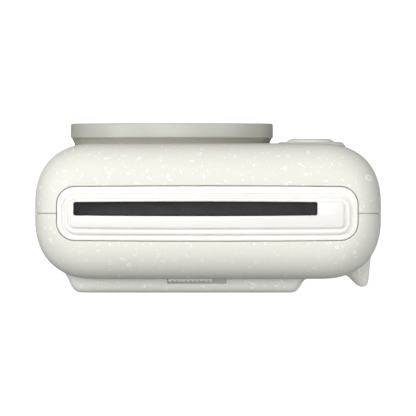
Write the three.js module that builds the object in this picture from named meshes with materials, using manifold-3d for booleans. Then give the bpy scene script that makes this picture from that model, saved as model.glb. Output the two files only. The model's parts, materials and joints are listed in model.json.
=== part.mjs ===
// Instant camera that prints square pictures, standing on its base.
// Millimetres. +Z is up, the lens looks along -Y, and +X is the photographer's left.
// The origin is on the base, in the middle of the overall width and depth.
import * as THREE from "three";
import { mergeVertices } from "three/addons/utils/BufferGeometryUtils.js";
import Module from "manifold-3d";

const wasm = await Module();
wasm.setup();

// ---- Driving sizes ----
const GAP = 0.3; // between neighbouring pieces
const WALL = 2.0;
const BODY_WIDTH = 118.6;
const BODY_HEIGHT = 126.6;
const BODY_FRONT = -22.1;
const BODY_BACK = 24.4;
const PART_LINE = 1.96; // where front and rear cover meet
const PLAN_CORNER = 21;
const PLAN_POWER = 2.35;
const TOP_ROUND = { x: 9, y: 13.2, z: 12.5 };
const BASE_ROUND = { x: 9, y: 9, z: 9 };
const OUTLINE_STEPS = 6;
const CAP_STEPS = 5;
const ROUND_STEPS = 36;
const SMALL_STEPS = 12;

const LENS_X = 12.5;
const LENS_Z = 57;
const RING_RADIUS = 35;
const RING_FRONT = -29.15;
const RING_DEPTH = 4.95;
const PAD_RADIUS = 12.15;
const BUTTON_RADIUS = 8.3;
const BUTTON_Z = 72;

const FILM_X = 8;
const FILM_WIDTH = 81.2;
const FILM_HEIGHT = 94.4;
const FILM_BOTTOM = 11.8;
const FILM_FRONT = 4;
const FILM_BACK = 20.2;
const CHAMBER_WALL = 1.2;
const GATE = 63;

const DOOR_BACK = 29.15;
const DOOR_WALL = 1.8;
const DOOR_FRAME_WALL = 1.2;
const HINGE = { y: 24, z: 9, radius: 2, bore: 1.05, pin: 0.75 };

const SLOT_X = 4.3;
const SLOT_WIDTH = FILM_WIDTH + 2.4;
const SLOT = { left: SLOT_X + SLOT_WIDTH / 2, right: SLOT_X - SLOT_WIDTH / 2, front: -1.96, back: 2.68 };
const STEP_HEIGHT = 0.75;
const TONGUE = { thickness: 0.8, depth: 1 }; // of the rear cover, inside the front cover's edge
const FILM_PATH_Y = 0.6;
const ROLLER_RADIUS = 3.3;
const ROLLER_GAP = 0.4;
const SHAFT_RADIUS = 1.0;
const GEAR_MODULE = 0.5;

const CELL_RADIUS = 7.8;
const CELL_LENGTH = 27;
const SCREW = { head: 2.2, shank: 0.9, headHeight: 0.6, length: 6 };

// ---- Sizes that follow ----
const SIDE = BODY_WIDTH / 2;
const BODY_CENTRE_Y = (BODY_FRONT + BODY_BACK) / 2;
const CORE_X = SIDE - PLAN_CORNER;
const CORE_Y = (BODY_BACK - BODY_FRONT) / 2 - PLAN_CORNER;
const FILM_LEFT = FILM_X + FILM_WIDTH / 2;
const FILM_RIGHT = FILM_X - FILM_WIDTH / 2;
const FILM_TOP = FILM_BOTTOM + FILM_HEIGHT;
const CHAMBER = {
  left: FILM_LEFT + CHAMBER_WALL,
  right: FILM_RIGHT - CHAMBER_WALL,
  front: FILM_FRONT - CHAMBER_WALL,
  bottom: FILM_BOTTOM - CHAMBER_WALL,
  top: FILM_TOP + CHAMBER_WALL,
};
const DOOR = {
  left: CHAMBER.left - GAP,
  right: CHAMBER.right - 0.2,
  front: FILM_BACK + GAP,
  bottom: HINGE.z + HINGE.radius + 0.5,
  top: CHAMBER.top + 0.6,
};
const COLLAR_RADIUS = RING_RADIUS - 1.5;
const GUIDE_RADIUS = RING_RADIUS - 7.5;
const BARREL_RADIUS = GUIDE_RADIUS - 1.5;
const PAD_X = LENS_X - RING_RADIUS - PAD_RADIUS - 0.75;
const ROLLER_Z = FILM_TOP + 6.3;
const FRONT_ROLLER_Y = FILM_PATH_Y - ROLLER_GAP / 2 - ROLLER_RADIUS;
const REAR_ROLLER_Y = FILM_PATH_Y + ROLLER_GAP / 2 + ROLLER_RADIUS;
const COLUMN_X = 15.8 - SIDE; // middle of the cells, beside the film chamber
const CELL_Y = PART_LINE - CELL_RADIUS - 2.36;
const EYE = { left: 19.7 - SIDE, right: 7.3 - SIDE, bottom: BODY_HEIGHT - 25.6, top: BODY_HEIGHT - 13.2 };
const FLASH = { x: 31, z: BODY_HEIGHT - 20.1, width: 22, height: 12 };

// ---- Materials ----
function material(color, roughness, metalness = 0) {
  return new THREE.MeshStandardMaterial({ color, roughness, metalness });
}
const shellWhite = material(0xf1f1ea, 0.6);
const bezelWhite = material(0xfbfbf8, 0.5);
const ringGrey = material(0xc8c8bf, 0.45);
const blackPlastic = material(0x2b2b2a, 0.6);
const rubberBlack = material(0x1c1c1c, 0.8);
const glass = material(0x9fb4bd, 0.08);
const smokedWindow = material(0x3a3d42, 0.15);
const steel = material(0xb9bbbe, 0.3, 1);
const gearWhite = material(0xe6e2d4, 0.5);
const boardGreen = material(0x2f6b45, 0.5);
const cellBlue = material(0x3d5a80, 0.4);

// ---- Making and joining solids ----
function solidOf(geometry) {
  geometry.deleteAttribute("normal");
  geometry.deleteAttribute("uv");
  const merged = mergeVertices(geometry, 1e-4);
  const vertProperties = merged.attributes.position.array;
  const triVerts = new Uint32Array(merged.index.array);
  return new wasm.Manifold(new wasm.Mesh({ numProp: 3, vertProperties, triVerts }));
}

function geometryOf(solid) {
  const mesh = solid.getMesh();
  const geometry = new THREE.BufferGeometry();
  geometry.setAttribute("position", new THREE.BufferAttribute(mesh.vertProperties, 3));
  geometry.setIndex(new THREE.BufferAttribute(mesh.triVerts, 1));
  return geometry;
}

function joined(...solids) {
  return solids.reduce((whole, piece) => whole.add(piece));
}

function cut(solid, ...cutters) {
  return cutters.reduce((rest, cutter) => rest.subtract(cutter), solid);
}

function box(left, right, front, back, bottom, top) {
  const [width, depth, height] = [right - left, back - front, top - bottom].map(Math.abs);
  const geometry = new THREE.BoxGeometry(width, depth, height);
  geometry.translate((left + right) / 2, (front + back) / 2, (bottom + top) / 2);
  return solidOf(geometry);
}

// An extrusion's outline lies in YZ for axis x, in XZ for axis y and in XY for axis z.
function prism(shape, axis, from, to) {
  const [low, high] = [Math.min(from, to), Math.max(from, to)];
  const options = { depth: high - low, bevelEnabled: false, curveSegments: 4 };
  const geometry = new THREE.ExtrudeGeometry(shape, options);
  const X = new THREE.Vector3(1, 0, 0);
  const Y = new THREE.Vector3(0, 1, 0);
  const Z = new THREE.Vector3(0, 0, 1);
  const turn = new THREE.Matrix4();
  if (axis === "x") turn.makeBasis(Y, Z, X).setPosition(low, 0, 0);
  if (axis === "y") turn.makeBasis(X, Z, Y.clone().negate()).setPosition(0, high, 0);
  if (axis === "z") turn.makeBasis(X, Y, Z).setPosition(0, 0, low);
  geometry.applyMatrix4(turn);
  return solidOf(geometry);
}

// Turns a profile of [radius, place along the axis] about an axis through the given point.
function turned(profile, axis, x, y, z, steps = ROUND_STEPS) {
  const points = profile.map(([radius, along]) => new THREE.Vector2(radius, along));
  const geometry = new THREE.LatheGeometry(points, steps);
  if (axis === "x") geometry.rotateZ(-Math.PI / 2);
  if (axis === "z") geometry.rotateX(Math.PI / 2);
  geometry.translate(x, y, z);
  return solidOf(geometry);
}

function rod(axis, x, y, z, radius, from, to, steps = SMALL_STEPS) {
  return turned([[0, from], [radius, from], [radius, to], [0, to]], axis, x, y, z, steps);
}

function tube(axis, x, y, z, outer, inner, from, to, steps = ROUND_STEPS) {
  const profile = [[inner, from], [outer, from], [outer, to], [inner, to], [inner, from]];
  return turned(profile, axis, x, y, z, steps);
}

function roundedRect(left, right, bottom, top, radius) {
  const shape = new THREE.Shape();
  shape.moveTo(left + radius, bottom);
  shape.absarc(right - radius, bottom + radius, radius, -Math.PI / 2, 0);
  shape.absarc(right - radius, top - radius, radius, 0, Math.PI / 2);
  shape.absarc(left + radius, top - radius, radius, Math.PI / 2, Math.PI);
  shape.absarc(left + radius, bottom + radius, radius, Math.PI, 1.5 * Math.PI);
  return shape;
}

const model = new THREE.Group();
const lensGroup = new THREE.Group();
lensGroup.position.set(LENS_X, 0, LENS_Z);
model.add(lensGroup);

function add(name, solid, finish, group = model) {
  const mesh = new THREE.Mesh(geometryOf(solid), finish);
  mesh.name = name;
  group.add(mesh);
}

// ---- Body form ----
// A horizontal outline: a straight core with superellipse corners that the insets shrink.
function bodyOutline(insetX, insetY) {
  const points = [];
  for (let quarter = 0; quarter < 4; quarter++) {
    const signX = quarter === 0 || quarter === 3 ? 1 : -1;
    const signY = quarter < 2 ? 1 : -1;
    for (let step = 0; step <= OUTLINE_STEPS; step++) {
      const turn = (step / OUTLINE_STEPS) * (Math.PI / 2);
      const angle = quarter % 2 === 0 ? turn : Math.PI / 2 - turn;
      const x = Math.cos(angle) ** (2 / PLAN_POWER);
      const y = Math.sin(angle) ** (2 / PLAN_POWER);
      points.push([
        signX * (CORE_X + (PLAN_CORNER - insetX) * x),
        BODY_CENTRE_Y + signY * (CORE_Y + (PLAN_CORNER - insetY) * y),
      ]);
    }
  }
  return points;
}

// The whole body form, drawn in by inset all round.
function bodySolid(inset) {
  const levels = [];
  const rounded = (round, turn) => ({
    x: inset + (round.x - inset) * (1 - Math.cos(turn)),
    y: inset + (round.y - inset) * (1 - Math.cos(turn)),
    rise: (round.z - inset) * (1 - Math.sin(turn)),
  });
  for (let step = CAP_STEPS; step >= 0; step--) {
    const level = rounded(BASE_ROUND, (step / CAP_STEPS) * (Math.PI / 2));
    levels.push({ outline: bodyOutline(level.x, level.y), z: inset + level.rise });
  }
  for (let step = 0; step <= CAP_STEPS; step++) {
    const level = rounded(TOP_ROUND, (step / CAP_STEPS) * (Math.PI / 2));
    levels.push({ outline: bodyOutline(level.x, level.y), z: BODY_HEIGHT - inset - level.rise });
  }
  const count = levels[0].outline.length;
  const positions = levels.flatMap(({ outline, z }) => outline.flatMap(([x, y]) => [x, y, z]));
  const triangles = [];
  for (let ring = 0; ring + 1 < levels.length; ring++) {
    for (let i = 0; i < count; i++) {
      const a = ring * count + i;
      const b = ring * count + ((i + 1) % count);
      triangles.push(a, b, b + count, a, b + count, a + count);
    }
  }
  const last = (levels.length - 1) * count;
  for (let i = 1; i + 1 < count; i++) {
    triangles.push(0, i + 1, i, last, last + i, last + i + 1);
  }
  const geometry = new THREE.BufferGeometry();
  geometry.setAttribute("position", new THREE.Float32BufferAttribute(positions, 3));
  geometry.setIndex(triangles);
  return solidOf(geometry);
}

const FAR = 200; // well past the body on every side
const bodyInside = bodySolid(WALL + GAP);
const shell = bodySolid(0).subtract(bodySolid(WALL));

// A panel cut out of the shell, and the opening that it leaves with the gap all round.
function panel(shape, grownShape, axis, from, to) {
  return {
    piece: shell.intersect(prism(shape, axis, from, to)),
    opening: prism(grownShape, axis, from, to),
  };
}

// A window in the front or the back, given by its middle.
function windowPanel(x, z, width, height, radius, side) {
  const outline = (grow) =>
    roundedRect(
      x - width / 2 - grow,
      x + width / 2 + grow,
      z - height / 2 - grow,
      z + height / 2 + grow,
      radius + grow,
    );
  const [from, to] = side === "front" ? [-FAR, 0] : [5, FAR];
  return panel(outline(0), outline(GAP), "y", from, to);
}

const EYE_WALL = 1.2;
const EYE_X = (EYE.left + EYE.right) / 2;
const EYE_Z = (EYE.bottom + EYE.top) / 2;
const eyeSize = EYE.left - EYE.right - 2 * (EYE_WALL + 0.2);
const viewfinderWindow = windowPanel(EYE_X, EYE_Z, eyeSize, eyeSize, 1.5, "front");
const eyepiece = windowPanel(EYE_X, EYE_Z, eyeSize, eyeSize, 1.5, "back");
const flashWindow = windowPanel(FLASH.x, FLASH.z, FLASH.width, FLASH.height, 2.5, "front");
const sensorWindow = windowPanel(-12, FLASH.z, 8, 6, 2.9, "front");
const COUNTER = { x: 16.3 - SIDE, y: 18.4, z: 26, radius: 6, thickness: 1 };
const counterWindow = windowPanel(COUNTER.x, COUNTER.z + 3.3, 5, 4.2, 1, "back");

// ---- Battery door, in the front cover's side ----
const BATTERY = {
  front: CELL_Y - CELL_RADIUS - 0.2,
  back: CELL_Y + CELL_RADIUS + 0.1,
  bottom: 10.6,
  top: 66,
};
const BATTERY_HINGE = {
  x: 0.7 - SIDE,
  z: 9.4,
  radius: 1.0,
  bore: 0.75,
  pin: 0.45,
  front: CELL_Y + 2.7,
  back: CELL_Y + 6.8,
};
const BATTERY_EAR = 1.1;

function batteryOutline(grow) {
  const { front, back, bottom, top } = BATTERY;
  return roundedRect(front - grow, back + grow, bottom - grow, top + grow, 1.5 + grow);
}
const batteryPanel = panel(batteryOutline(0), batteryOutline(GAP), "x", -FAR, COLUMN_X);

function batteryDoor() {
  const { x, z, radius, bore, front, back } = BATTERY_HINGE;
  const web = box(x - 0.6, x + 0.8, front, back, z, BATTERY.bottom + 0.5);
  const knuckle = rod("y", x, 0, z, radius, front, back, SMALL_STEPS);
  return cut(joined(batteryPanel.piece, web, knuckle), rod("y", x, 0, z, bore, front - 1, back + 1, 12));
}

// The ears on the front cover, at both ends of the battery door's knuckle.
function batteryEars() {
  const { x, z, radius, front, back } = BATTERY_HINGE;
  const frontEar = rod("y", x, 0, z, radius, front - GAP - BATTERY_EAR, front - GAP, SMALL_STEPS);
  const backEar = rod("y", x, 0, z, radius, back + GAP, back + GAP + BATTERY_EAR, SMALL_STEPS);
  return joined(frontEar, backEar);
}

function batteryHingePin() {
  const { x, z, pin, front, back } = BATTERY_HINGE;
  return rod("y", x, 0, z, pin, front - BATTERY_EAR - 0.2, back + BATTERY_EAR + 0.2, 8);
}

function batteryRelief() {
  const { x, z, radius, front, back } = BATTERY_HINGE;
  const round = rod("y", x, 0, z, radius + GAP, front - GAP, back + GAP, SMALL_STEPS);
  return joined(round, box(x - 5, x + 2.2, front - GAP, back + GAP, z, BATTERY.bottom));
}

// ---- Bezel round the slot, print exit flap ----
const BEZEL = { halfWidth: SLOT.left + 5.65, front: -7.1, back: 11.1, corner: 6 };
const BEZEL_LIP = { overlap: 0.6, thickness: 0.8, top: BODY_HEIGHT - WALL - 1.1 }; // under the covers' edge
BEZEL.bottom = BEZEL_LIP.top - BEZEL_LIP.thickness;
const SLOT_WALL = 1.6;
const FLAP = { y: SLOT.front + 0.9, z: BODY_HEIGHT - 4.1, thickness: 0.8 };
const slotCut = prism(roundedRect(SLOT.right, SLOT.left, SLOT.front, SLOT.back, 0.7), "z", FLAP.z - 5, FAR);

function bezelOutline(grow) {
  const { halfWidth, front, back, corner } = BEZEL;
  return roundedRect(-halfWidth - grow, halfWidth + grow, front - grow, back + grow, corner + grow);
}

function slotBezel() {
  const { halfWidth, front, back, bottom } = BEZEL;
  const flangeTop = BODY_HEIGHT - 0.2;
  const stepOne = roundedRect(2.5 - halfWidth, halfWidth - 2.5, front + 2.95, back - 2, 3.8);
  const stepTwo = roundedRect(4.5 - halfWidth, halfWidth - 4.5, front + 5.15, back - 4.12, 1.5);
  const chute = roundedRect(
    SLOT.right - SLOT_WALL,
    SLOT.left + SLOT_WALL,
    SLOT.front - SLOT_WALL,
    SLOT.back + SLOT_WALL,
    1.5,
  );
  const pinHole = rod("x", 0, FLAP.y, FLAP.z, 0.7, SLOT.right - FAR, SLOT.left + FAR, 8);
  return cut(
    joined(
      prism(bezelOutline(GAP + BEZEL_LIP.overlap), "z", bottom, BEZEL_LIP.top),
      prism(bezelOutline(0), "z", bottom, flangeTop),
      prism(stepOne, "z", bottom, BODY_HEIGHT + STEP_HEIGHT),
      prism(stepTwo, "z", bottom, BODY_HEIGHT + 2 * STEP_HEIGHT),
      prism(chute, "z", FLAP.z - 1.4, bottom + 0.5),
    ),
    slotCut,
    pinHole,
  );
}

function exitFlap() {
  const { y, z, thickness } = FLAP;
  const [left, right] = [SLOT.left - 0.4, SLOT.right + 0.4];
  const plate = box(right, left, y, SLOT.back - 0.4, z - thickness / 2, z + thickness / 2);
  const edge = rod("x", 0, y, z, thickness / 2, right, left, 8);
  const pins = rod("x", 0, y, z, 0.4, right - 1.6, left + 1.6, 8);
  return joined(plate, edge, pins);
}

const bezelOpening = prism(bezelOutline(GAP), "z", BEZEL.bottom - 1, FAR);

// ---- Base frame and screws ----
const SCREW_X = SIDE - 17.3;
const SCREW_YS = [-7, 9];
const SCREW_PLACES = [SCREW_X, -SCREW_X].flatMap((x) => SCREW_YS.map((y) => [x, y]));
const FRAME_BOTTOM = WALL + GAP;

function baseFrame() {
  const [front, back] = [SCREW_YS[0] - 4, SCREW_YS[1] + 4];
  const outline = roundedRect(-SCREW_X - 4, SCREW_X + 4, front, back, 4);
  const plate = prism(outline, "z", FRAME_BOTTOM, FRAME_BOTTOM + 1.6);
  const bosses = SCREW_PLACES.map(([x, y]) => rod("z", x, y, 0, 2.4, FRAME_BOTTOM, SCREW.length + 1));
  const holes = SCREW_PLACES.map(([x, y]) => rod("z", x, y, 0, SCREW.shank + GAP, 0, SCREW.length + 2, 12));
  return cut(joined(plate, ...bosses), ...holes);
}

// ---- Strap lugs, one on each side of the rear cover ----
const LUG = {
  y: 6,
  z: ROLLER_Z - 22.5,
  halfWidth: 2.4,
  halfHeight: 6,
  floor: SIDE - 7.1,
  bar: SIDE - 0.7,
  radius: 1,
};

function lugBlock(side) {
  const { y, z, halfWidth, halfHeight, floor } = LUG;
  const wall = 1.5;
  return box(
    side * (floor - wall),
    side * (SIDE - 1),
    y - halfWidth - wall + 0.3,
    y + halfWidth + wall,
    z - halfHeight - wall,
    z + halfHeight + wall,
  );
}

function lugPocket(side) {
  const { y, z, halfWidth, halfHeight, floor, bar, radius } = LUG;
  const [bottom, top] = [z - halfHeight, z + halfHeight];
  const pocket = box(side * floor, side * FAR, y - halfWidth, y + halfWidth, bottom, top);
  const barHole = rod("z", side * bar, y, z, radius + GAP, -halfHeight - 1, halfHeight + 1, 8);
  return joined(pocket, barHole);
}

function strapBar(side) {
  const { y, z, halfHeight, bar, radius } = LUG;
  return rod("z", side * bar, y, z, radius, -halfHeight - 0.7, halfHeight + 0.7, 8);
}

// ---- Film door with its hinge at the bottom ----
const LATCH = {
  left: FILM_X + 5.75,
  right: FILM_X - 9.65,
  front: BODY_BACK - 0.6,
  back: BODY_BACK + 1.1,
  travel: 4.3,
  ribs: 10,
  bottom: DOOR.top - 2.7,
};
const KNUCKLE = { inner: 18, outer: 30 }; // from the middle of the door
const EAR_END = KNUCKLE.outer + 8;
const KNUCKLE_SPANS = [
  [FILM_X - KNUCKLE.outer, FILM_X - KNUCKLE.inner],
  [FILM_X + KNUCKLE.inner, FILM_X + KNUCKLE.outer],
];
const EAR_SPANS = [
  [FILM_X - EAR_END, FILM_X - KNUCKLE.outer - GAP],
  [FILM_X - KNUCKLE.inner + GAP, FILM_X + KNUCKLE.inner - GAP],
  [FILM_X + KNUCKLE.outer + GAP, FILM_X + EAR_END],
];
const PACK_WINDOW = { left: FILM_X + 26, right: FILM_X + 16, bottom: LENS_Z - 20, top: LENS_Z + 20 };
const SEAT = 1; // width and depth of the ledge that the window lies on
const DOOR_TOP_WALL = 4.4;

// The door in plan: a flat back between two S-shaped flanks that meet the rear cover.
function doorPlan() {
  const { left, right, front } = DOOR;
  const shape = new THREE.Shape();
  shape.moveTo(right, front);
  shape.lineTo(left, front);
  shape.lineTo(left, front + 1.7);
  shape.bezierCurveTo(left - 2.3, BODY_BACK - 0.2, left - 1.9, DOOR_BACK, left - 6.2, DOOR_BACK);
  shape.lineTo(right + 5.6, DOOR_BACK);
  shape.bezierCurveTo(right + 2.1, DOOR_BACK, right + 2.4, BODY_BACK + 0.5, right, BODY_BACK);
  shape.closePath();
  return shape;
}

// The door from the side: upright, with its two outer edges rounded.
function doorSide() {
  const edge = 2.2;
  const shape = new THREE.Shape();
  shape.moveTo(DOOR.front - 1, DOOR.bottom);
  shape.lineTo(DOOR_BACK - edge, DOOR.bottom);
  shape.absarc(DOOR_BACK - edge, DOOR.bottom + edge, edge, -Math.PI / 2, 0);
  shape.absarc(DOOR_BACK - edge, DOOR.top - edge, edge, 0, Math.PI / 2);
  shape.lineTo(DOOR.front - 1, DOOR.top);
  shape.closePath();
  return shape;
}

function filmDoor() {
  const outer = prism(doorPlan(), "z", DOOR.bottom, DOOR.top).intersect(prism(doorSide(), "x", -FAR, FAR));
  const hollow = box(
    DOOR.right + DOOR_WALL + 1.4,
    DOOR.left - DOOR_WALL - 1.4,
    DOOR.front - 1,
    DOOR_BACK - DOOR_WALL,
    DOOR.bottom + DOOR_WALL,
    DOOR.top - DOOR_TOP_WALL,
  );
  const latchPocket = box(
    LATCH.left + GAP,
    LATCH.right - LATCH.travel - GAP,
    LATCH.front - GAP,
    LATCH.back + GAP + 0.2,
    LATCH.bottom - GAP,
    FAR,
  );
  const { left, right, bottom, top } = PACK_WINDOW;
  const windowHole = prism(roundedRect(right, left, bottom, top, 2), "y", DOOR.front, FAR);
  const seatOutline = roundedRect(right - SEAT, left + SEAT, bottom - SEAT, top + SEAT, 2 + SEAT);
  const windowSeat = prism(seatOutline, "y", DOOR_BACK - SEAT, FAR);
  const knuckles = KNUCKLE_SPANS.map(([from, to]) =>
    joined(
      rod("x", 0, HINGE.y, HINGE.z, HINGE.radius, from, to),
      box(from, to, HINGE.y - 1, HINGE.y + 1, HINGE.z, DOOR.bottom + 0.5),
    ),
  );
  const pinBore = rod("x", 0, HINGE.y, HINGE.z, HINGE.bore, -FAR, FAR, 8);
  const drilled = joined(cut(outer, hollow, latchPocket, windowHole, windowSeat), ...knuckles);
  return cut(drilled, pinBore);
}

function packWindow() {
  const { left, right, bottom, top } = PACK_WINDOW;
  const edge = SEAT - GAP;
  const outline = roundedRect(right - edge, left + edge, bottom - edge, top + edge, 2 + edge);
  return prism(outline, "y", DOOR_BACK - edge, DOOR_BACK - 0.1);
}

function doorLatch() {
  const { left, right, front, back, ribs, bottom } = LATCH;
  const top = DOOR.top - 0.1;
  const pitch = (left - right) / ribs;
  const shape = new THREE.Shape();
  shape.moveTo(right, front);
  shape.lineTo(left, front);
  for (let rib = 0; rib < ribs; rib++) {
    const start = left - rib * pitch;
    shape.lineTo(start, back - 0.4);
    shape.quadraticCurveTo(start - pitch / 2, back + 0.4, start - pitch, back - 0.4);
  }
  shape.closePath();
  return prism(shape, "z", bottom, top);
}

const PLATE = {
  halfWidth: FILM_WIDTH / 2 - 8.6,
  bottom: FILM_BOTTOM + 8,
  top: FILM_TOP - 8,
  front: FILM_BACK - 1.6,
  thickness: 1,
};

function pressurePlate() {
  const { halfWidth, bottom, top, front, thickness } = PLATE;
  const outline = roundedRect(FILM_X - halfWidth, FILM_X + halfWidth, bottom, top, 5);
  return prism(outline, "y", front, front + thickness);
}

// A bowed strip between the door's back and the pressure plate.
function leafSpring(x) {
  const near = DOOR_BACK - DOOR_WALL - GAP;
  const far = PLATE.front + PLATE.thickness + GAP;
  const thickness = 0.5;
  const middle = LENS_Z;
  const halfLength = 22;
  // The control point that brings the curve's middle to the given depth.
  const bow = (start, depth) => 2 * depth - start;
  const shape = new THREE.Shape();
  shape.moveTo(near, middle - halfLength);
  shape.quadraticCurveTo(bow(near, far + thickness), middle, near, middle + halfLength);
  shape.lineTo(near - thickness, middle + halfLength);
  shape.quadraticCurveTo(bow(near - thickness, far), middle, near - thickness, middle - halfLength);
  shape.closePath();
  return prism(shape, "x", x - 3, x + 3);
}

function doorHingePin() {
  return rod("x", 0, HINGE.y, HINGE.z, HINGE.pin, EAR_SPANS[0][0] + 0.2, EAR_SPANS[2][1] - 0.2, 8);
}

// ---- Covers ----
// The ridge behind the right thumb, from the rear cover's corner to its tip.
function thumbRest() {
  const tip = { x: 6.5 - SIDE, y: DOOR_BACK - 1.95 };
  const plan = new THREE.Shape();
  plan.moveTo(14 - SIDE, BODY_BACK - 5.4);
  plan.lineTo(12 - SIDE, BODY_BACK - 1.3);
  plan.bezierCurveTo(9.6 - SIDE, BODY_BACK - 0.2, 8.6 - SIDE, tip.y - 0.3, tip.x, tip.y);
  plan.bezierCurveTo(tip.x - 1.5, tip.y, 4.1 - SIDE, tip.y - 0.9, 4.05 - SIDE, BODY_BACK + 0.1);
  plan.lineTo(3.35 - SIDE, BODY_BACK - 7);
  plan.lineTo(2.7 - SIDE, BODY_BACK - 9.1);
  plan.lineTo(6.5 - SIDE, BODY_BACK - 11);
  plan.closePath();
  const bottom = BODY_HEIGHT - 90.6;
  const top = BODY_HEIGHT - 28.6;
  const side = new THREE.Shape();
  side.moveTo(10, bottom);
  side.lineTo(20, bottom);
  side.bezierCurveTo(25, bottom + 2, 28, bottom + 5, 28, bottom + 12);
  side.lineTo(28, top - 6);
  side.bezierCurveTo(28, top - 2.5, 25.5, top, 20, top);
  side.lineTo(10, top);
  side.closePath();
  const ridge = prism(plan, "z", bottom - 1, top + 1).intersect(prism(side, "x", -FAR, FAR));
  return ridge.subtract(bodySolid(WALL));
}

function screwHoles() {
  return SCREW_PLACES.map(([x, y]) =>
    joined(
      rod("z", x, y, 0, SCREW.head + GAP, -1, GAP + SCREW.headHeight + 0.2),
      rod("z", x, y, 0, SCREW.shank + GAP, 0, WALL + 1, 8),
    ),
  );
}

// The rear cover's tongue lies in a rebate along the inner half of the front cover's edge.
function rearTongue() {
  const slice = box(-FAR, FAR, PART_LINE - TONGUE.depth, PART_LINE + 1, -1, FAR);
  return cut(bodySolid(WALL - TONGUE.thickness), bodySolid(WALL)).intersect(slice);
}

function tongueRebate() {
  const slice = box(-FAR, FAR, PART_LINE - TONGUE.depth - GAP, FAR, -1, FAR);
  return bodySolid(WALL - TONGUE.thickness - GAP).intersect(slice);
}

function frontCover() {
  const half = box(-FAR, FAR, -FAR, PART_LINE - GAP / 2, -1, FAR);
  const lensHole = rod("y", LENS_X, 0, LENS_Z, COLLAR_RADIUS + GAP, -FAR, 0, ROUND_STEPS);
  const padHole = rod("y", PAD_X, 0, BUTTON_Z, PAD_RADIUS + GAP, -FAR, 0, 24);
  const body = cut(
    shell.intersect(half),
    tongueRebate(),
    bezelOpening,
    lensHole,
    padHole,
    viewfinderWindow.opening,
    flashWindow.opening,
    sensorWindow.opening,
    batteryPanel.opening,
    ...screwHoles(),
  );
  const bore = rod("y", BATTERY_HINGE.x, 0, BATTERY_HINGE.z, BATTERY_HINGE.bore, -FAR, 1.5, 8);
  return cut(joined(cut(body, batteryRelief()), batteryEars()), bore);
}

// A frame in the rear cover that runs from the film chamber's mouth to the door's opening.
function doorFrame() {
  const edge = GAP + DOOR_FRAME_WALL;
  const block = box(
    DOOR.right - edge,
    DOOR.left + edge,
    FILM_BACK - 1,
    BODY_BACK - 1,
    DOOR.bottom - edge,
    DOOR.top + edge,
  );
  return block.intersect(bodySolid(1));
}

function rearCover() {
  const half = box(-FAR, FAR, PART_LINE + GAP / 2, FAR, -1, FAR);
  const doorOpening = box(
    DOOR.right - GAP,
    DOOR.left + GAP,
    DOOR.front - 2,
    FAR,
    DOOR.bottom - GAP,
    DOOR.top + GAP,
  );
  const chamberRelief = box(
    CHAMBER.right - GAP,
    CHAMBER.left + GAP,
    CHAMBER.front,
    FILM_BACK + GAP,
    CHAMBER.bottom - GAP,
    CHAMBER.top + GAP,
  );
  const body = cut(
    joined(shell.intersect(half), rearTongue(), doorFrame(), thumbRest(), lugBlock(1), lugBlock(-1)),
    bezelOpening,
    doorOpening,
    chamberRelief,
    lugPocket(1),
    lugPocket(-1),
    eyepiece.opening,
    counterWindow.opening,
    ...screwHoles(),
  );
  const ears = EAR_SPANS.map(([from, to]) => rod("x", 0, HINGE.y, HINGE.z, HINGE.radius, from, to));
  const reliefs = KNUCKLE_SPANS.map(([from, to]) =>
    joined(
      rod("x", 0, HINGE.y, HINGE.z, HINGE.radius + GAP, from - GAP, to + GAP),
      box(from - GAP, to + GAP, HINGE.y - 1 - GAP, FAR, HINGE.z, DOOR.bottom),
    ),
  );
  const pinBore = rod("x", 0, HINGE.y, HINGE.z, HINGE.bore, -FAR, FAR, 8);
  return cut(joined(cut(body, ...reliefs), ...ears), pinBore);
}

add("front_cover", frontCover(), shellWhite);
add("rear_cover", rearCover(), shellWhite);
add("slot_bezel", slotBezel(), bezelWhite);
add("exit_flap", exitFlap(), rubberBlack);
add("base_frame", baseFrame(), blackPlastic);
SCREW_PLACES.forEach(([x, y], index) => {
  const { head, shank, headHeight, length } = SCREW;
  const neck = GAP + headHeight;
  const profile = [[0, GAP], [head, GAP], [head, neck], [shank, neck], [shank, length], [0, length]];
  add(`base_screw_${index + 1}`, turned(profile, "z", x, y, 0, SMALL_STEPS), steel);
});
add("strap_bar_left", strapBar(1), steel);
add("strap_bar_right", strapBar(-1), steel);
add("film_door", filmDoor(), shellWhite);
add("pack_window", packWindow(), smokedWindow);
add("door_latch", doorLatch(), bezelWhite);
add("pressure_plate", pressurePlate(), blackPlastic);
add("pressure_spring_left", leafSpring(FILM_X + 16), steel);
add("pressure_spring_right", leafSpring(FILM_X - 16), steel);
add("door_hinge_pin", doorHingePin(), steel);
add("viewfinder_window", viewfinderWindow.piece, glass);
add("viewfinder_eyepiece", eyepiece.piece, smokedWindow);
add("flash_window", flashWindow.piece, glass);
add("sensor_window", sensorWindow.piece, smokedWindow);
add("counter_window", counterWindow.piece, glass);
add("battery_door", batteryDoor(), shellWhite);
add("battery_hinge_pin", batteryHingePin(), steel);

// ---- Lens, in the group whose origin is on the lens axis ----
const RING = { back: RING_FRONT + RING_DEPTH, lip: 1.2 };
const COLLAR = { front: RING.back + GAP, back: BODY_FRONT + WALL + 1.7 };
const SPIGOT = { inner: GUIDE_RADIUS + GAP, outer: GUIDE_RADIUS + GAP + 1.8, back: COLLAR.front + 3.9 };
const GUIDE_FRONT = RING_FRONT + 2.4;
const BAFFLE_FRONT = -3.1;
const BARREL = { front: RING_FRONT + 0.75, back: -6.4 };

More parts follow.
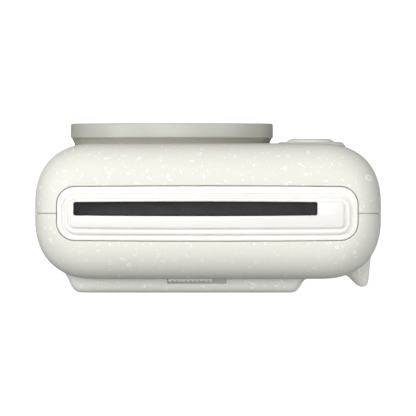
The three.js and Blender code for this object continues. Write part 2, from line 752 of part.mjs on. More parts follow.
function lensRing() {
  const bore = BARREL_RADIUS + GAP;
  const profile = [
    [bore, RING_FRONT],
    [RING_RADIUS - 0.7, RING_FRONT],
    [RING_RADIUS - 0.2, RING_FRONT + 0.2],
    [RING_RADIUS, RING_FRONT + 0.7],
    [RING_RADIUS, RING.back - 0.3],
    [RING_RADIUS - 0.3, RING.back],
    [SPIGOT.outer, RING.back],
    [SPIGOT.outer, SPIGOT.back],
    [SPIGOT.inner, SPIGOT.back],
    [SPIGOT.inner, RING_FRONT + RING.lip],
    [bore, RING_FRONT + RING.lip],
    [bore, RING_FRONT],
  ];
  return turned(profile, "y", 0, 0, 0);
}

// The neck behind the ring flares out towards it.
function lensCollar() {
  const bore = SPIGOT.outer + GAP;
  const profile = [
    [bore, COLLAR.front],
    [RING_RADIUS - 0.6, COLLAR.front],
    [RING_RADIUS - 1.05, COLLAR.front + 0.7],
    [COLLAR_RADIUS, BODY_FRONT - 0.2],
    [COLLAR_RADIUS, COLLAR.back],
    [bore, COLLAR.back],
    [bore, COLLAR.front],
  ];
  return turned(profile, "y", 0, 0, 0);
}

function barrelGuide() {
  const back = BAFFLE_FRONT - GAP;
  const profile = [
    [BARREL_RADIUS + GAP, GUIDE_FRONT],
    [GUIDE_RADIUS, GUIDE_FRONT],
    [GUIDE_RADIUS, back - 1.2],
    [GUIDE_RADIUS + 4, back - 1.2],
    [GUIDE_RADIUS + 4, back],
    [BARREL_RADIUS + GAP, back],
    [BARREL_RADIUS + GAP, GUIDE_FRONT],
  ];
  return turned(profile, "y", 0, 0, 0);
}

function lensBarrel() {
  const inner = BARREL_RADIUS - 1.6;
  const profile = [
    [inner, BARREL.front],
    [BARREL_RADIUS - 0.4, BARREL.front],
    [BARREL_RADIUS, BARREL.front + 0.4],
    [BARREL_RADIUS, BARREL.back],
    [inner, BARREL.back],
    [inner, BARREL.front],
  ];
  return turned(profile, "y", 0, 0, 0);
}

const FACE = { radius: BARREL_RADIUS - 1.6 - GAP, front: BARREL.front + 0.9, thickness: 1.4 };
const FRONT_LENS_RADIUS = 9;
const MIRROR = { x: -15.5, z: 4, radius: 5.2 };

function lensFacePlate() {
  const { radius, front, thickness } = FACE;
  const disc = tube("y", 0, 0, 0, radius, FRONT_LENS_RADIUS + GAP, front, front + thickness);
  return cut(disc, rod("y", MIRROR.x, 0, MIRROR.z, MIRROR.radius + GAP, -FAR, 0, 24));
}

// A lens bulging towards the front by the given height.
function lensBlank(radius, front, bulge, thickness) {
  const sphere = (radius ** 2 + bulge ** 2) / (2 * bulge);
  const widest = Math.asin(radius / sphere);
  const profile = [];
  for (let step = 0; step <= 5; step++) {
    const angle = (widest * step) / 5;
    profile.push([sphere * Math.sin(angle), front + sphere * (1 - Math.cos(angle))]);
  }
  return turned([...profile, [radius, front + thickness], [0, front + thickness]], "y", 0, 0, 0, 24);
}

function selfieMirror() {
  const profile = [[0, 0], [2.7, 0.2], [MIRROR.radius, 0.9], [MIRROR.radius, 1.6], [0, 1.6]];
  return turned(profile, "y", MIRROR.x, FACE.front - 0.3, MIRROR.z, 24);
}

const SHUTTER = { radius: FACE.radius - 1, front: -21.6, back: -13.4, aperture: 5, slit: 1.2 };
const BLADE = { pivotX: 0, pivotZ: 12, y: -17.5, thickness: 0.5, swing: 32 };

// A disc with the light opening, and a slit that lets the blade swing.
function shutterHousing() {
  const { radius, front, back, aperture, slit } = SHUTTER;
  const disc = tube("y", 0, 0, 0, radius, aperture, front, back);
  const slitFront = BLADE.y - slit / 2;
  const slitBack = BLADE.y + slit / 2;
  const bladeRoom = box(-radius - 1, radius + 1, slitFront, slitBack, -9, BLADE.pivotZ + 4);
  const whole = rod("y", 0, 0, 0, radius, front, back, ROUND_STEPS);
  const spine = box(-FAR, 4 - radius, slitFront - 1, slitBack + 1, -FAR, FAR).intersect(whole);
  const pivotHole = rod("y", BLADE.pivotX, 0, BLADE.pivotZ, 0.9, slitFront - 2, slitBack + 2, 8);
  return cut(joined(cut(disc, bladeRoom), spine), pivotHole);
}

function shutterBlade() {
  const { pivotX, pivotZ, y, thickness } = BLADE;
  const cover = SHUTTER.aperture + 1;
  const blade = new THREE.Shape();
  blade.moveTo(-2.2, pivotZ);
  blade.absarc(0, pivotZ, 2.2, Math.PI, 0, true);
  blade.lineTo(cover, 0);
  blade.absarc(0, 0, cover, 0, -Math.PI, true);
  blade.closePath();
  const leaf = prism(blade, "y", y - thickness / 2, y + thickness / 2);
  return joined(leaf, rod("y", pivotX, 0, pivotZ, 0.6, y - 1.6, y + 1.6, 12));
}

add("lens_ring", lensRing(), ringGrey, lensGroup);
add("lens_collar", lensCollar(), ringGrey, lensGroup);
add("barrel_guide", barrelGuide(), blackPlastic, lensGroup);
add("lens_barrel", lensBarrel(), blackPlastic, lensGroup);
add("lens_face_plate", lensFacePlate(), blackPlastic, lensGroup);
add("front_lens", lensBlank(FRONT_LENS_RADIUS, FACE.front + 0.2, 1.6, 4), glass, lensGroup);
add("rear_lens", lensBlank(7, SHUTTER.back + GAP, 1, 2.5), glass, lensGroup);
add("selfie_mirror", selfieMirror(), steel, lensGroup);
add("shutter_housing", shutterHousing(), blackPlastic, lensGroup);
add("shutter_blade", shutterBlade(), steel, lensGroup);

// ---- Shutter button ----
const PAD = { front: BODY_FRONT - 0.6, back: BODY_FRONT + 1.9 };
const BUTTON = { front: BODY_FRONT - 1.7, back: BODY_FRONT + 2.4 };
const BUTTON_TRAVEL = 1.0;
const STEM = 1; // behind the button, down to the switch

function buttonPad() {
  const bore = BUTTON_RADIUS + GAP;
  const profile = [
    [bore, PAD.front],
    [PAD_RADIUS - 1.6, PAD.front],
    [PAD_RADIUS - 0.5, PAD.front + 0.6],
    [PAD_RADIUS, PAD.front + 1.6],
    [PAD_RADIUS, PAD.back],
    [bore, PAD.back],
    [bore, PAD.front],
  ];
  return turned(profile, "y", PAD_X, 0, BUTTON_Z, 24);
}

function shutterButton() {
  const profile = [
    [0, BUTTON.front],
    [BUTTON_RADIUS - 2.4, BUTTON.front],
    [BUTTON_RADIUS - 0.8, BUTTON.front + 0.45],
    [BUTTON_RADIUS, BUTTON.front + 1.2],
    [BUTTON_RADIUS, BUTTON.back],
    [1.5, BUTTON.back],
    [1.5, BUTTON.back + STEM],
    [0, BUTTON.back + STEM],
  ];
  return turned(profile, "y", PAD_X, 0, BUTTON_Z, 24);
}

function releaseSwitch() {
  const front = BUTTON.back + STEM + BUTTON_TRAVEL + GAP;
  const half = 3.5;
  return box(PAD_X - half, PAD_X + half, front, front + 2.6, BUTTON_Z - half, BUTTON_Z + half);
}

add("button_pad", buttonPad(), shellWhite);
add("shutter_button", shutterButton(), bezelWhite);
add("release_switch", releaseSwitch(), blackPlastic);

// ---- Film chamber and light baffle ----
function filmChamber() {
  const { left, right, front, bottom, top } = CHAMBER;
  const half = GATE / 2;
  const printExit = { half: FILM_WIDTH / 2 - 3.1, front: FILM_FRONT + 0.2, height: 3 };
  return cut(
    box(right, left, front, FILM_BACK, bottom, top),
    box(FILM_RIGHT, FILM_LEFT, FILM_FRONT, FAR, FILM_BOTTOM, FILM_TOP),
    box(FILM_X - half, FILM_X + half, front - 1, FILM_FRONT + 1, LENS_Z - half, LENS_Z + half),
    box(
      FILM_X - printExit.half,
      FILM_X + printExit.half,
      printExit.front,
      printExit.front + printExit.height,
      FILM_TOP - 1,
      top + 1,
    ),
  );
}

// A square funnel from the barrel guide to the exposure gate.
function funnel(frontHalf, backHalf, front, back) {
  const square = [[-1, -1], [1, -1], [1, 1], [-1, 1]];
  const corners = (half, y) => square.flatMap(([x, z]) => [FILM_X + x * half, y, LENS_Z + z * half]);
  const geometry = new THREE.BufferGeometry();
  const positions = [...corners(frontHalf, front), ...corners(backHalf, back)];
  geometry.setAttribute("position", new THREE.Float32BufferAttribute(positions, 3));
  const sides = [0, 1, 2, 3].flatMap((i) => {
    const next = (i + 1) % 4;
    return [i, next + 4, next, i, i + 4, next + 4];
  });
  geometry.setIndex([0, 1, 2, 0, 2, 3, 4, 6, 5, 4, 7, 6, ...sides]);
  return solidOf(geometry);
}

function lightBaffle() {
  const back = CHAMBER.front - GAP;
  const backHalf = GATE / 2 + 1;
  const frontHalf = 23;
  const wall = 1.2;
  return cut(
    funnel(frontHalf + wall, backHalf + wall, BAFFLE_FRONT, back),
    funnel(frontHalf - 0.02, backHalf, BAFFLE_FRONT - 0.01, back + 0.01),
  );
}
add("film_chamber", filmChamber(), blackPlastic);
add("light_baffle", lightBaffle(), rubberBlack);

// ---- Print rollers and their drive ----
const BRACKET = { left: FILM_LEFT + 0.9, right: FILM_RIGHT - 1.9, thickness: 2.5 };
const GEAR_PLANE = { from: BRACKET.right - 0.7, to: BRACKET.right - 3.7 };
const MOTOR = { radius: 6.5, length: 13.5, shaft: 0.75, shaftLength: 4, front: GEAR_PLANE.to - 2.3 };
const AXLE_RADIUS = 1.2;
const TEETH = { pinion: 10, idler: 28, roller: 14 };
const IDLER_Y = FRONT_ROLLER_Y - 3;
const meshDistance = (teeth, others) => (GEAR_MODULE * (teeth + others)) / 2;
const idlerDrop = Math.sqrt(meshDistance(TEETH.idler, TEETH.roller) ** 2 - (FRONT_ROLLER_Y - IDLER_Y) ** 2);
const IDLER_Z = ROLLER_Z - idlerDrop;
const PINION_Z = IDLER_Z - meshDistance(TEETH.idler, TEETH.pinion);
const gears = {
  pinion: { teeth: TEETH.pinion, y: IDLER_Y, z: PINION_Z },
  idler: { teeth: TEETH.idler, y: IDLER_Y, z: IDLER_Z, phase: -Math.PI / 2 },
  front: { teeth: TEETH.roller, y: FRONT_ROLLER_Y, z: ROLLER_Z },
  rear: { teeth: TEETH.roller, y: REAR_ROLLER_Y, z: ROLLER_Z },
};

// The direction of a tooth of the driven gear that puts its gap where the driver's tooth is.
function meshPhase(driver, driven) {
  const direction = Math.atan2(driven.z - driver.z, driven.y - driver.y);
  const lead = (driver.teeth / driven.teeth) * (driver.phase - direction);
  return direction + Math.PI - lead + Math.PI / driven.teeth;
}
gears.pinion.phase = meshPhase(gears.idler, gears.pinion);
gears.front.phase = meshPhase(gears.idler, gears.front);
gears.rear.phase = meshPhase(gears.front, gears.rear);

function gear({ teeth, y, z, phase }, bore) {
  const pitchRadius = (GEAR_MODULE * teeth) / 2;
  const root = pitchRadius - 1.1 * GEAR_MODULE;
  const tip = pitchRadius + 0.8 * GEAR_MODULE;
  const pitch = (2 * Math.PI) / teeth;
  const corners = [[root, -0.3], [tip, -0.12], [tip, 0.12], [root, 0.3]];
  const points = [];
  for (let tooth = 0; tooth < teeth; tooth++) {
    for (const [radius, share] of corners) {
      const angle = phase + (tooth + share) * pitch;
      points.push(new THREE.Vector2(y + radius * Math.cos(angle), z + radius * Math.sin(angle)));
    }
  }
  const disc = prism(new THREE.Shape(points), "x", GEAR_PLANE.from, GEAR_PLANE.to);
  return bore ? cut(disc, rod("x", 0, y, z, bore, GEAR_PLANE.to - 1, GEAR_PLANE.from + 1, 12)) : disc;
}

function roller(y) {
  const right = BRACKET.right + BRACKET.thickness + GAP;
  const left = BRACKET.left - GAP;
  const core = rod("x", 0, y, ROLLER_Z, ROLLER_RADIUS, right, left, 24);
  const shaftLeft = BRACKET.left + BRACKET.thickness + 0.5;
  const shaft = rod("x", 0, y, ROLLER_Z, SHAFT_RADIUS, GEAR_PLANE.to - 0.5, shaftLeft, 8);
  return joined(core, shaft);
}

function bracketPlate(from, to, drop) {
  const top = ROLLER_Z + 5;
  const low = CHAMBER.top + GAP;
  const shape = new THREE.Shape();
  shape.moveTo(FRONT_ROLLER_Y - 4.6, top);
  shape.lineTo(FRONT_ROLLER_Y - 4.6 - drop.wide, low);
  shape.lineTo(FRONT_ROLLER_Y - 4.6 - drop.wide, low - drop.deep);
  shape.lineTo(CHAMBER.front - 1.2, low - drop.deep);
  shape.lineTo(CHAMBER.front - 1.2, low);
  shape.lineTo(REAR_ROLLER_Y + 4.6, low);
  shape.lineTo(REAR_ROLLER_Y + 4.6, top);
  shape.closePath();
  const bores = [FRONT_ROLLER_Y, REAR_ROLLER_Y].map((y) =>
    rod("x", 0, y, ROLLER_Z, SHAFT_RADIUS + GAP, from - 1, to + 1, 8),
  );
  return cut(prism(shape, "x", from, to), ...bores);
}

function rightBracket() {
  const { right, thickness } = BRACKET;
  const plate = bracketPlate(right, right + thickness, { wide: 4, deep: 20 });
  const { y, z } = gears.idler;
  const axle = rod("x", 0, y, z, AXLE_RADIUS, GEAR_PLANE.to - 0.5, right + 0.5, 8);
  const { y: motorY, z: motorZ } = gears.pinion;
  return joined(cut(plate, rod("x", 0, motorY, motorZ, 1.5, right - 1, right + thickness + 1, 12)), axle);
}

function pinion() {
  const { y, z } = gears.pinion;
  const shaftEnd = MOTOR.front - MOTOR.shaftLength;
  return joined(gear(gears.pinion), rod("x", 0, y, z, MOTOR.shaft, shaftEnd, BRACKET.right + 1.5, 12));
}

function ejectMotor() {
  const { y, z } = gears.pinion;
  const { radius, length, shaft, shaftLength, front } = MOTOR;
  const can = rod("x", 0, y, z, radius, front - length, front, 24);
  return cut(can, rod("x", 0, y, z, shaft + GAP, front - shaftLength - 2 * GAP, front + 1, 12));
}

add("front_roller", roller(FRONT_ROLLER_Y), steel);
add("rear_roller", roller(REAR_ROLLER_Y), steel);
add("front_roller_gear", gear(gears.front, SHAFT_RADIUS + GAP), gearWhite);
add("rear_roller_gear", gear(gears.rear, SHAFT_RADIUS + GAP), gearWhite);
add("idler_gear", gear(gears.idler, AXLE_RADIUS + GAP), gearWhite);
add("motor_pinion", pinion(), gearWhite);
add("eject_motor", ejectMotor(), steel);
const leftBracket = bracketPlate(BRACKET.left, BRACKET.left + BRACKET.thickness, { wide: 0, deep: 0 });
add("roller_bracket_left", leftBracket, steel);
add("roller_bracket_right", rightBracket(), steel);

// ---- Viewfinder, flash ----
function viewfinderTunnel() {
  const { left, right, bottom, top } = EYE;
  const wall = EYE_WALL;
  const tunnel = cut(
    box(right, left, -FAR, FAR, bottom, top),
    box(right + wall, left - wall, -FAR - 1, FAR + 1, bottom + wall, top - wall),
  );
  return tunnel.intersect(bodyInside);
}

function flashReflector() {
  const { x, z, width, height } = FLASH;
  const front = BODY_FRONT + WALL + 3;
  const depth = 7;
  const half = height / 2 - 0.5;
  const wall = 0.8;
  const shape = new THREE.Shape();
  shape.moveTo(front, z + half);
  shape.bezierCurveTo(front + depth * 1.33, z + half, front + depth * 1.33, z - half, front, z - half);
  shape.lineTo(front, z - half + wall);
  const innerPull = (depth - wall) * 1.33;
  const innerHalf = half - wall;
  shape.bezierCurveTo(front + innerPull, z - innerHalf, front + innerPull, z + innerHalf, front, z + innerHalf);
  shape.closePath();
  return prism(shape, "x", x - width / 2 + 1, x + width / 2 - 1);
}

add("viewfinder_tunnel", viewfinderTunnel(), blackPlastic);
add("flash_reflector", flashReflector(), steel);
const tubeHalf = FLASH.width / 2 - 1.5;
const flashTube = rod("x", FLASH.x, BODY_FRONT + WALL + 5.8, FLASH.z, 1.4, -tubeHalf, tubeHalf, 8);
add("flash_tube", flashTube, glass);
add("flash_capacitor", rod("x", 0, -12, 12, 6, -10, 25, 24), rubberBlack);

// ---- Batteries, board and picture counter ----
const cellBottom = BATTERY.bottom + 0.4;

function batteryTray() {
  const wall = 1;
  const room = CELL_RADIUS + 0.35;
  const top = cellBottom + 2 * CELL_LENGTH + 0.3 + wall;
  const block = box(
    COLUMN_X - 5.5,
    COLUMN_X + room + wall,
    CELL_Y - room - wall,
    CELL_Y + room + wall,
    cellBottom - wall - GAP,
    top,
  );
  const bore = rod("z", COLUMN_X, CELL_Y, 0, room, cellBottom - GAP, top - wall, 24);
  const mouth = box(-FAR, COLUMN_X, CELL_Y - room, CELL_Y + room, cellBottom - GAP, top - wall);
  const buttonEnd = BUTTON.back + STEM + BUTTON_TRAVEL + GAP;
  const buttonRoom = rod("y", PAD_X, 0, BUTTON_Z, BUTTON_RADIUS + GAP, -FAR, buttonEnd, 24);
  return cut(block.intersect(bodyInside), bore, mouth, buttonRoom);
}

function cell(bottom) {
  const cap = 2.6;
  const top = bottom + CELL_LENGTH;
  const profile = [
    [0, bottom],
    [CELL_RADIUS - 0.4, bottom],
    [CELL_RADIUS, bottom + 0.4],
    [CELL_RADIUS, top - 1],
    [CELL_RADIUS - 0.4, top - 0.6],
    [cap, top - 0.6],
    [cap, top - GAP],
    [0, top - GAP],
  ];
  return turned(profile, "z", COLUMN_X, CELL_Y, 0, 24);
}

function counterDisc() {
  const { x, y, z, radius, thickness } = COUNTER;
  const disc = rod("y", x, 0, z, radius, y, y + thickness, 32);
  return joined(disc, rod("y", x, 0, z, 1, y - 4, y + thickness / 2, 12));
}

add("battery_tray", batteryTray(), blackPlastic);
add("battery_lower", cell(cellBottom), cellBlue);
add("battery_upper", cell(cellBottom + CELL_LENGTH), cellBlue);
add("main_board", box(4.3 - SIDE, 23.3 - SIDE, 4.5, 5.9, 12, 78), boardGreen);
add("counter_disc", counterDisc(), bezelWhite);

export default model;
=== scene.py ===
import json
import math

import bpy
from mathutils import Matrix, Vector


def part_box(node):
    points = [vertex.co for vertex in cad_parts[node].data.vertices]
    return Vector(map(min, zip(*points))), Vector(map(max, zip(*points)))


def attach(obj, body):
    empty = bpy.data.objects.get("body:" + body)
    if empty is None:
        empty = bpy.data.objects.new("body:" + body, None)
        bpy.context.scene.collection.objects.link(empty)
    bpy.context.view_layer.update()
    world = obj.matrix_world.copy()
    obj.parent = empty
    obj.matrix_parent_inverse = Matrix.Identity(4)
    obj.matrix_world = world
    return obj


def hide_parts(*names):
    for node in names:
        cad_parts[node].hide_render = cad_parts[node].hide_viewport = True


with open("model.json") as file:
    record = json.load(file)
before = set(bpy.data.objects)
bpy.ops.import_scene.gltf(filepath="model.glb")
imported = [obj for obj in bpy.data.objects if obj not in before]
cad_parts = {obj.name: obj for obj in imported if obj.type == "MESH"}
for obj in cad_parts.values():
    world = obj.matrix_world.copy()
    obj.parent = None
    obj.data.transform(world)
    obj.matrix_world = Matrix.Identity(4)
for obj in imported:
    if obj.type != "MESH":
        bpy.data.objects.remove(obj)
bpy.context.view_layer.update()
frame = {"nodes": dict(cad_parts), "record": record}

MM = 0.001
GAP = 0.3 * MM
WALL = 2.0 * MM
FAR = 0.3


def extent(node):
    """The node's lowest and highest corner as a dict of named sides."""
    low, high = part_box(node)
    return {
        "left": low.x, "right": high.x, "front": low.y,
        "back": high.y, "bottom": low.z, "top": high.z,
    }


def centre_of(side):
    """The middle of an extent in X and Z, for round parts whose axis is along Y."""
    return ((side["left"] + side["right"]) / 2, 0, (side["bottom"] + side["top"]) / 2)


def radius_of(side):
    return (side["right"] - side["left"]) / 2


# ---- Places and sizes from the frame ----
FRONT = extent("front_cover")
REAR = extent("rear_cover")
SIDE = REAR["right"]
TOP = REAR["top"]
BODY_FRONT = FRONT["front"]
PART_LINE = FRONT["back"] + GAP / 2
BODY_BACK = 24.4 * MM
PLAN_CORNER = 21 * MM
PLAN_POWER = 2.35
TOP_ROUND = (9 * MM, 13.2 * MM, 12.5 * MM)
BASE_ROUND = (9 * MM, 9 * MM, 9 * MM)
CENTRE_Y = (BODY_FRONT + BODY_BACK) / 2
CORE_X = SIDE - PLAN_CORNER
CORE_Y = (BODY_BACK - BODY_FRONT) / 2 - PLAN_CORNER

RING = extent("lens_ring")
LENS_AXIS = centre_of(RING)
RING_RADIUS = radius_of(RING)
RING_DEPTH = 4.95 * MM
SPIGOT_RADIUS = RING_RADIUS - 5.4 * MM
BARREL = extent("lens_barrel")
BARREL_RADIUS = radius_of(BARREL)
COLLAR = extent("lens_collar")
COLLAR_RADIUS = RING_RADIUS - 1.5 * MM
PAD = extent("button_pad")
BUTTON_CENTRE = centre_of(PAD)
DOOR = extent("film_door")
DOOR_LOW = 11.5 * MM
HINGE_Y = 24 * MM
HINGE_Z = 9 * MM
HINGE_RADIUS = 2 * MM
LATCH = extent("door_latch")
LATCH_TRAVEL = 4.3 * MM
CHAMBER = extent("film_chamber")
SHELL_BODY = "camera_body"

TONGUE = 0.8 * MM  # thickness of the rear cover's tongue inside the front cover's edge
TONGUE_DEPTH = 1 * MM
SEAM = 0.2 * MM  # the line between the covers
SEAM_DEPTH = 0.45 * MM
SEAM_FLOOR_GAP = 0.03 * MM
BEZEL_LIP = 0.9 * MM  # how far the bezel's lip reaches out under the covers
BEZEL_TRIM = 0.45 * MM  # how much shorter than its CAD solid the bezel is at its right-hand end
BEZEL_GAP = 0.22 * MM


# ---- Mesh helpers ----
def new_object(name, vertices, faces):
    mesh = bpy.data.meshes.new(name)
    mesh.from_pydata([tuple(v) for v in vertices], [], faces)
    mesh.validate()
    mesh.update()
    obj = bpy.data.objects.new(name, mesh)
    bpy.context.scene.collection.objects.link(obj)
    return obj


def smooth(obj, angle=35):
    """Smooth shading that keeps edges over the angle sharp."""
    obj.data.polygons.foreach_set("use_smooth", [True] * len(obj.data.polygons))
    obj.data.set_sharp_from_angle(angle=math.radians(angle))
    return obj


def loft(name, outlines, closed=False):
    """A solid through outlines with equal numbers of points: capped at both ends, or closed on itself."""
    count = len(outlines[0])
    vertices = [point for outline in outlines for point in outline]
    faces = []
    spans = len(outlines) if closed else len(outlines) - 1
    for ring in range(spans):
        low = ring * count
        high = ((ring + 1) % len(outlines)) * count
        for i in range(count):
            j = (i + 1) % count
            faces.append((low + i, low + j, high + j, high + i))
    if not closed:
        faces.append(tuple(range(count - 1, -1, -1)))
        faces.append(tuple(range(len(vertices) - count, len(vertices))))
    return new_object(name, vertices, faces)


def at_height(outline, z):
    return [(x, y, z) for x, y in outline]


def rounded_rect(left, right, front, back, radius, corner_steps=10, side_steps=8, bow=0.0):
    """Points of a rounded rectangle, counter-clockwise. bow pushes the long sides out in the middle."""
    corners = [
        (right - radius, front + radius, -90), (right - radius, back - radius, 0),
        (left + radius, back - radius, 90), (left + radius, front + radius, 180),
    ]
    points = []
    for index, (cx, cy, start) in enumerate(corners):
        arc = []
        for step in range(corner_steps + 1):
            angle = math.radians(start + 90 * step / corner_steps)
            arc.append((cx + radius * math.cos(angle), cy + radius * math.sin(angle)))
        points += arc
        next_x, next_y, next_start = corners[(index + 1) % 4]
        angle = math.radians(next_start)
        end = (next_x + radius * math.cos(angle), next_y + radius * math.sin(angle))
        for step in range(1, side_steps):
            t = step / side_steps
            points.append((
                arc[-1][0] + (end[0] - arc[-1][0]) * t,
                arc[-1][1] + (end[1] - arc[-1][1]) * t,
            ))
    if not bow:
        return points
    middle_x = (left + right) / 2
    middle_y = (front + back) / 2
    half = (right - left) / 2
    return [
        (x, y + math.copysign(bow, y - middle_y) * max(0.0, 1 - ((x - middle_x) / half) ** 2))
        for x, y in points
    ]


def prism(name, outline, axis, low, high):
    """An outline extruded along axis x (outline in YZ), y (outline in XZ) or z (outline in XY)."""
    place = {
        "x": lambda u, v, w: (w, u, v),
        "y": lambda u, v, w: (u, w, v),
        "z": lambda u, v, w: (u, v, w),
    }[axis]
    if axis == "y":
        outline = outline[::-1]
    return loft(name, [[place(u, v, w) for u, v in outline] for w in (low, high)])


def block(name, left, right, front, back, bottom, top):
    corners = [(left, front), (right, front), (right, back), (left, back)]
    return prism(name, corners, "z", bottom, top)


def lathe(name, profile, axis, centre, segments=128):
    """Turns [radius, along] points about an axis. The profile closes on itself unless it meets the axis."""
    on_axis = profile[0][0] == 0 and profile[-1][0] == 0
    rings = profile[1:-1] if on_axis else profile
    basis = {
        "x": (Vector((0, 1, 0)), Vector((0, 0, 1)), Vector((1, 0, 0))),
        "y": (Vector((0, 0, 1)), Vector((1, 0, 0)), Vector((0, 1, 0))),
        "z": (Vector((1, 0, 0)), Vector((0, 1, 0)), Vector((0, 0, 1))),
    }[axis]
    origin = Vector(centre)
    outlines = []
    for radius, along in rings:
        outlines.append([
            origin + basis[2] * along
            + basis[0] * (radius * math.cos(2 * math.pi * i / segments))
            + basis[1] * (radius * math.sin(2 * math.pi * i / segments))
            for i in range(segments)
        ])
    return loft(name, outlines, closed=not on_axis)


def rod(name, axis, centre, radius, low, high, edge=0.0, segments=32):
    """A cylinder with small rounded ends, placed along the axis through centre."""
    profile = [
        (0, low), (radius - edge, low), (radius, low + edge),
        (radius, high - edge), (radius - edge, high), (0, high),
    ]
    if not edge:
        profile = [(0, low), (radius, low), (radius, high), (0, high)]
    return lathe(name, profile, axis, centre, segments)


def boolean(target, operation, *tools):
    """Cuts, joins or intersects target with each tool, and removes the tools."""
    for tool in tools:
        modifier = target.modifiers.new("boolean", "BOOLEAN")
        modifier.operation = operation
        modifier.solver = "EXACT"
        modifier.object = tool
        bpy.context.view_layer.update()
        result = target.evaluated_get(bpy.context.evaluated_depsgraph_get())
        mesh = bpy.data.meshes.new_from_object(result)
        target.modifiers.clear()
        old = target.data
        target.data = mesh
        mesh.name = target.name
        bpy.data.meshes.remove(old)
        bpy.data.objects.remove(tool)
    return target


def copy_of(obj, name):
    other = obj.copy()
    other.data = obj.data.copy()
    other.name = name
    bpy.context.scene.collection.objects.link(other)
    return other


def piece(obj, body, slot, material, *replaced):
    """Finishes a piece: its material, smooth shading, parenting to its body's empty and hiding the CAD
    nodes it stands for. slot is not used.
    """
    obj.data.materials.clear()
    obj.data.materials.append(material)
    smooth(obj)
    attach(obj, body)
    if replaced:
        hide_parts(*replaced)
    return obj


# ---- Material helpers ----
class Nodes:
    """Builds one material's node tree with short calls."""

    def __init__(self, name, color, roughness, metallic=0.0, **sockets):
        self.material = bpy.data.materials.new(name)
        self.material.use_nodes = True
        self.tree = self.material.node_tree
        self.shader = self.tree.nodes["Principled BSDF"]
        self.shader.inputs["Base Color"].default_value = (*color, 1)
        self.shader.inputs["Roughness"].default_value = roughness
        self.shader.inputs["Metallic"].default_value = metallic
        for socket, value in sockets.items():
            self.shader.inputs[socket.replace("_", " ")].default_value = value
        self.position = self.add("ShaderNodeTexCoord").outputs["Object"]

    def add(self, kind, **settings):
        node = self.tree.nodes.new(kind)
        for key, value in settings.items():
            setattr(node, key, value)
        return node

    def link(self, source, target):
        self.tree.links.new(source, target)

    def feed(self, socket, value):
        if isinstance(value, bpy.types.NodeSocket):
            self.link(value, socket)
        else:
            socket.default_value = value

    def math(self, operation, first, second=0.0):
        node = self.add("ShaderNodeMath", operation=operation)
        self.feed(node.inputs[0], first)
        self.feed(node.inputs[1], second)
        return node.outputs[0]

    def vector(self, operation, first, second=(0, 0, 0), output="Vector"):
        node = self.add("ShaderNodeVectorMath", operation=operation)
        self.feed(node.inputs[0], first)
        self.feed(node.inputs[1], second)
        return node.outputs[output]

    def scaled(self, vector, factor):
        node = self.add("ShaderNodeVectorMath", operation="SCALE")
        self.feed(node.inputs[0], vector)
        self.feed(node.inputs["Scale"], factor)
        return node.outputs["Vector"]

    def flattened(self, vector, normal):
        """The part of a vector that lies in the surface."""
        height = self.vector("DOT_PRODUCT", vector, normal, "Value")
        return self.vector("SUBTRACT", vector, self.scaled(normal, height))

    def noise(self, scale, detail=3.0, stretch=(1, 1, 1), seed=0.0):
        shift = self.vector("ADD", self.vector("MULTIPLY", self.position, stretch), (seed, seed, seed))
        node = self.add("ShaderNodeTexNoise")
        node.inputs["Scale"].default_value = scale
        node.inputs["Detail"].default_value = detail
        self.link(shift, node.inputs["Vector"])
        return node.outputs["Fac"]

    def ramp(self, value, low, high, start=0.0, end=1.0):
        """Maps low..high of value smoothly to start..end."""
        node = self.add("ShaderNodeMapRange", interpolation_type="SMOOTHSTEP")
        self.feed(node.inputs["Value"], value)
        self.feed(node.inputs["From Min"], low)
        self.feed(node.inputs["From Max"], high)
        self.feed(node.inputs["To Min"], start)
        self.feed(node.inputs["To Max"], end)
        return node.outputs["Result"]

    def mix(self, factor, first, second):
        node = self.add("ShaderNodeMix", data_type="RGBA")
        self.feed(node.inputs["Factor"], factor)
        self.feed(node.inputs["A"], first)
        self.feed(node.inputs["B"], second)
        return node.outputs["Result"]

    def bump(self, height, distance, strength=1.0, normal=None):
        node = self.add("ShaderNodeBump")
        node.inputs["Strength"].default_value = strength
        node.inputs["Distance"].default_value = distance
        self.link(height, node.inputs["Height"])
        if normal is not None:
            self.link(normal, node.inputs["Normal"])
        self.link(node.outputs["Normal"], self.shader.inputs["Normal"])

    def soft_edges(self, radius):
        node = self.add("ShaderNodeBevel", samples=6)
        node.inputs["Radius"].default_value = radius
        return node.outputs["Normal"]

    def set(self, socket, value):
        self.feed(self.shader.inputs[socket], value)


def rgba(red, green, blue):
    """An sRGB colour from 0-255 as a linear RGBA tuple."""
    def linear(value):
        share = value / 255
        return share / 12.92 if share <= 0.04045 else ((share + 0.055) / 1.055) ** 2.4
    return (linear(red), linear(green), linear(blue), 1.0)


def shaded(color, factor):
    """The colour with each channel multiplied by the factor."""
    return tuple(channel * factor for channel in color[:3]) + (1.0,)


def moulded_plastic(name, color, roughness, grain=2600, depth=0.02 * MM, edge=0.25 * MM):
    """Plain moulded plastic: slight colour drift, fine grain and softened edges."""
    nodes = Nodes(name, color[:3], roughness)
    nodes.set("Base Color", nodes.mix(nodes.noise(60), color, shaded(color, 0.93)))
    patches = nodes.noise(220, seed=3)
    nodes.set("Roughness", nodes.ramp(patches, 0.3, 0.7, roughness - 0.05, roughness + 0.06))
    nodes.bump(nodes.noise(grain, 2), depth, 0.35, nodes.soft_edges(edge))
    return nodes.material


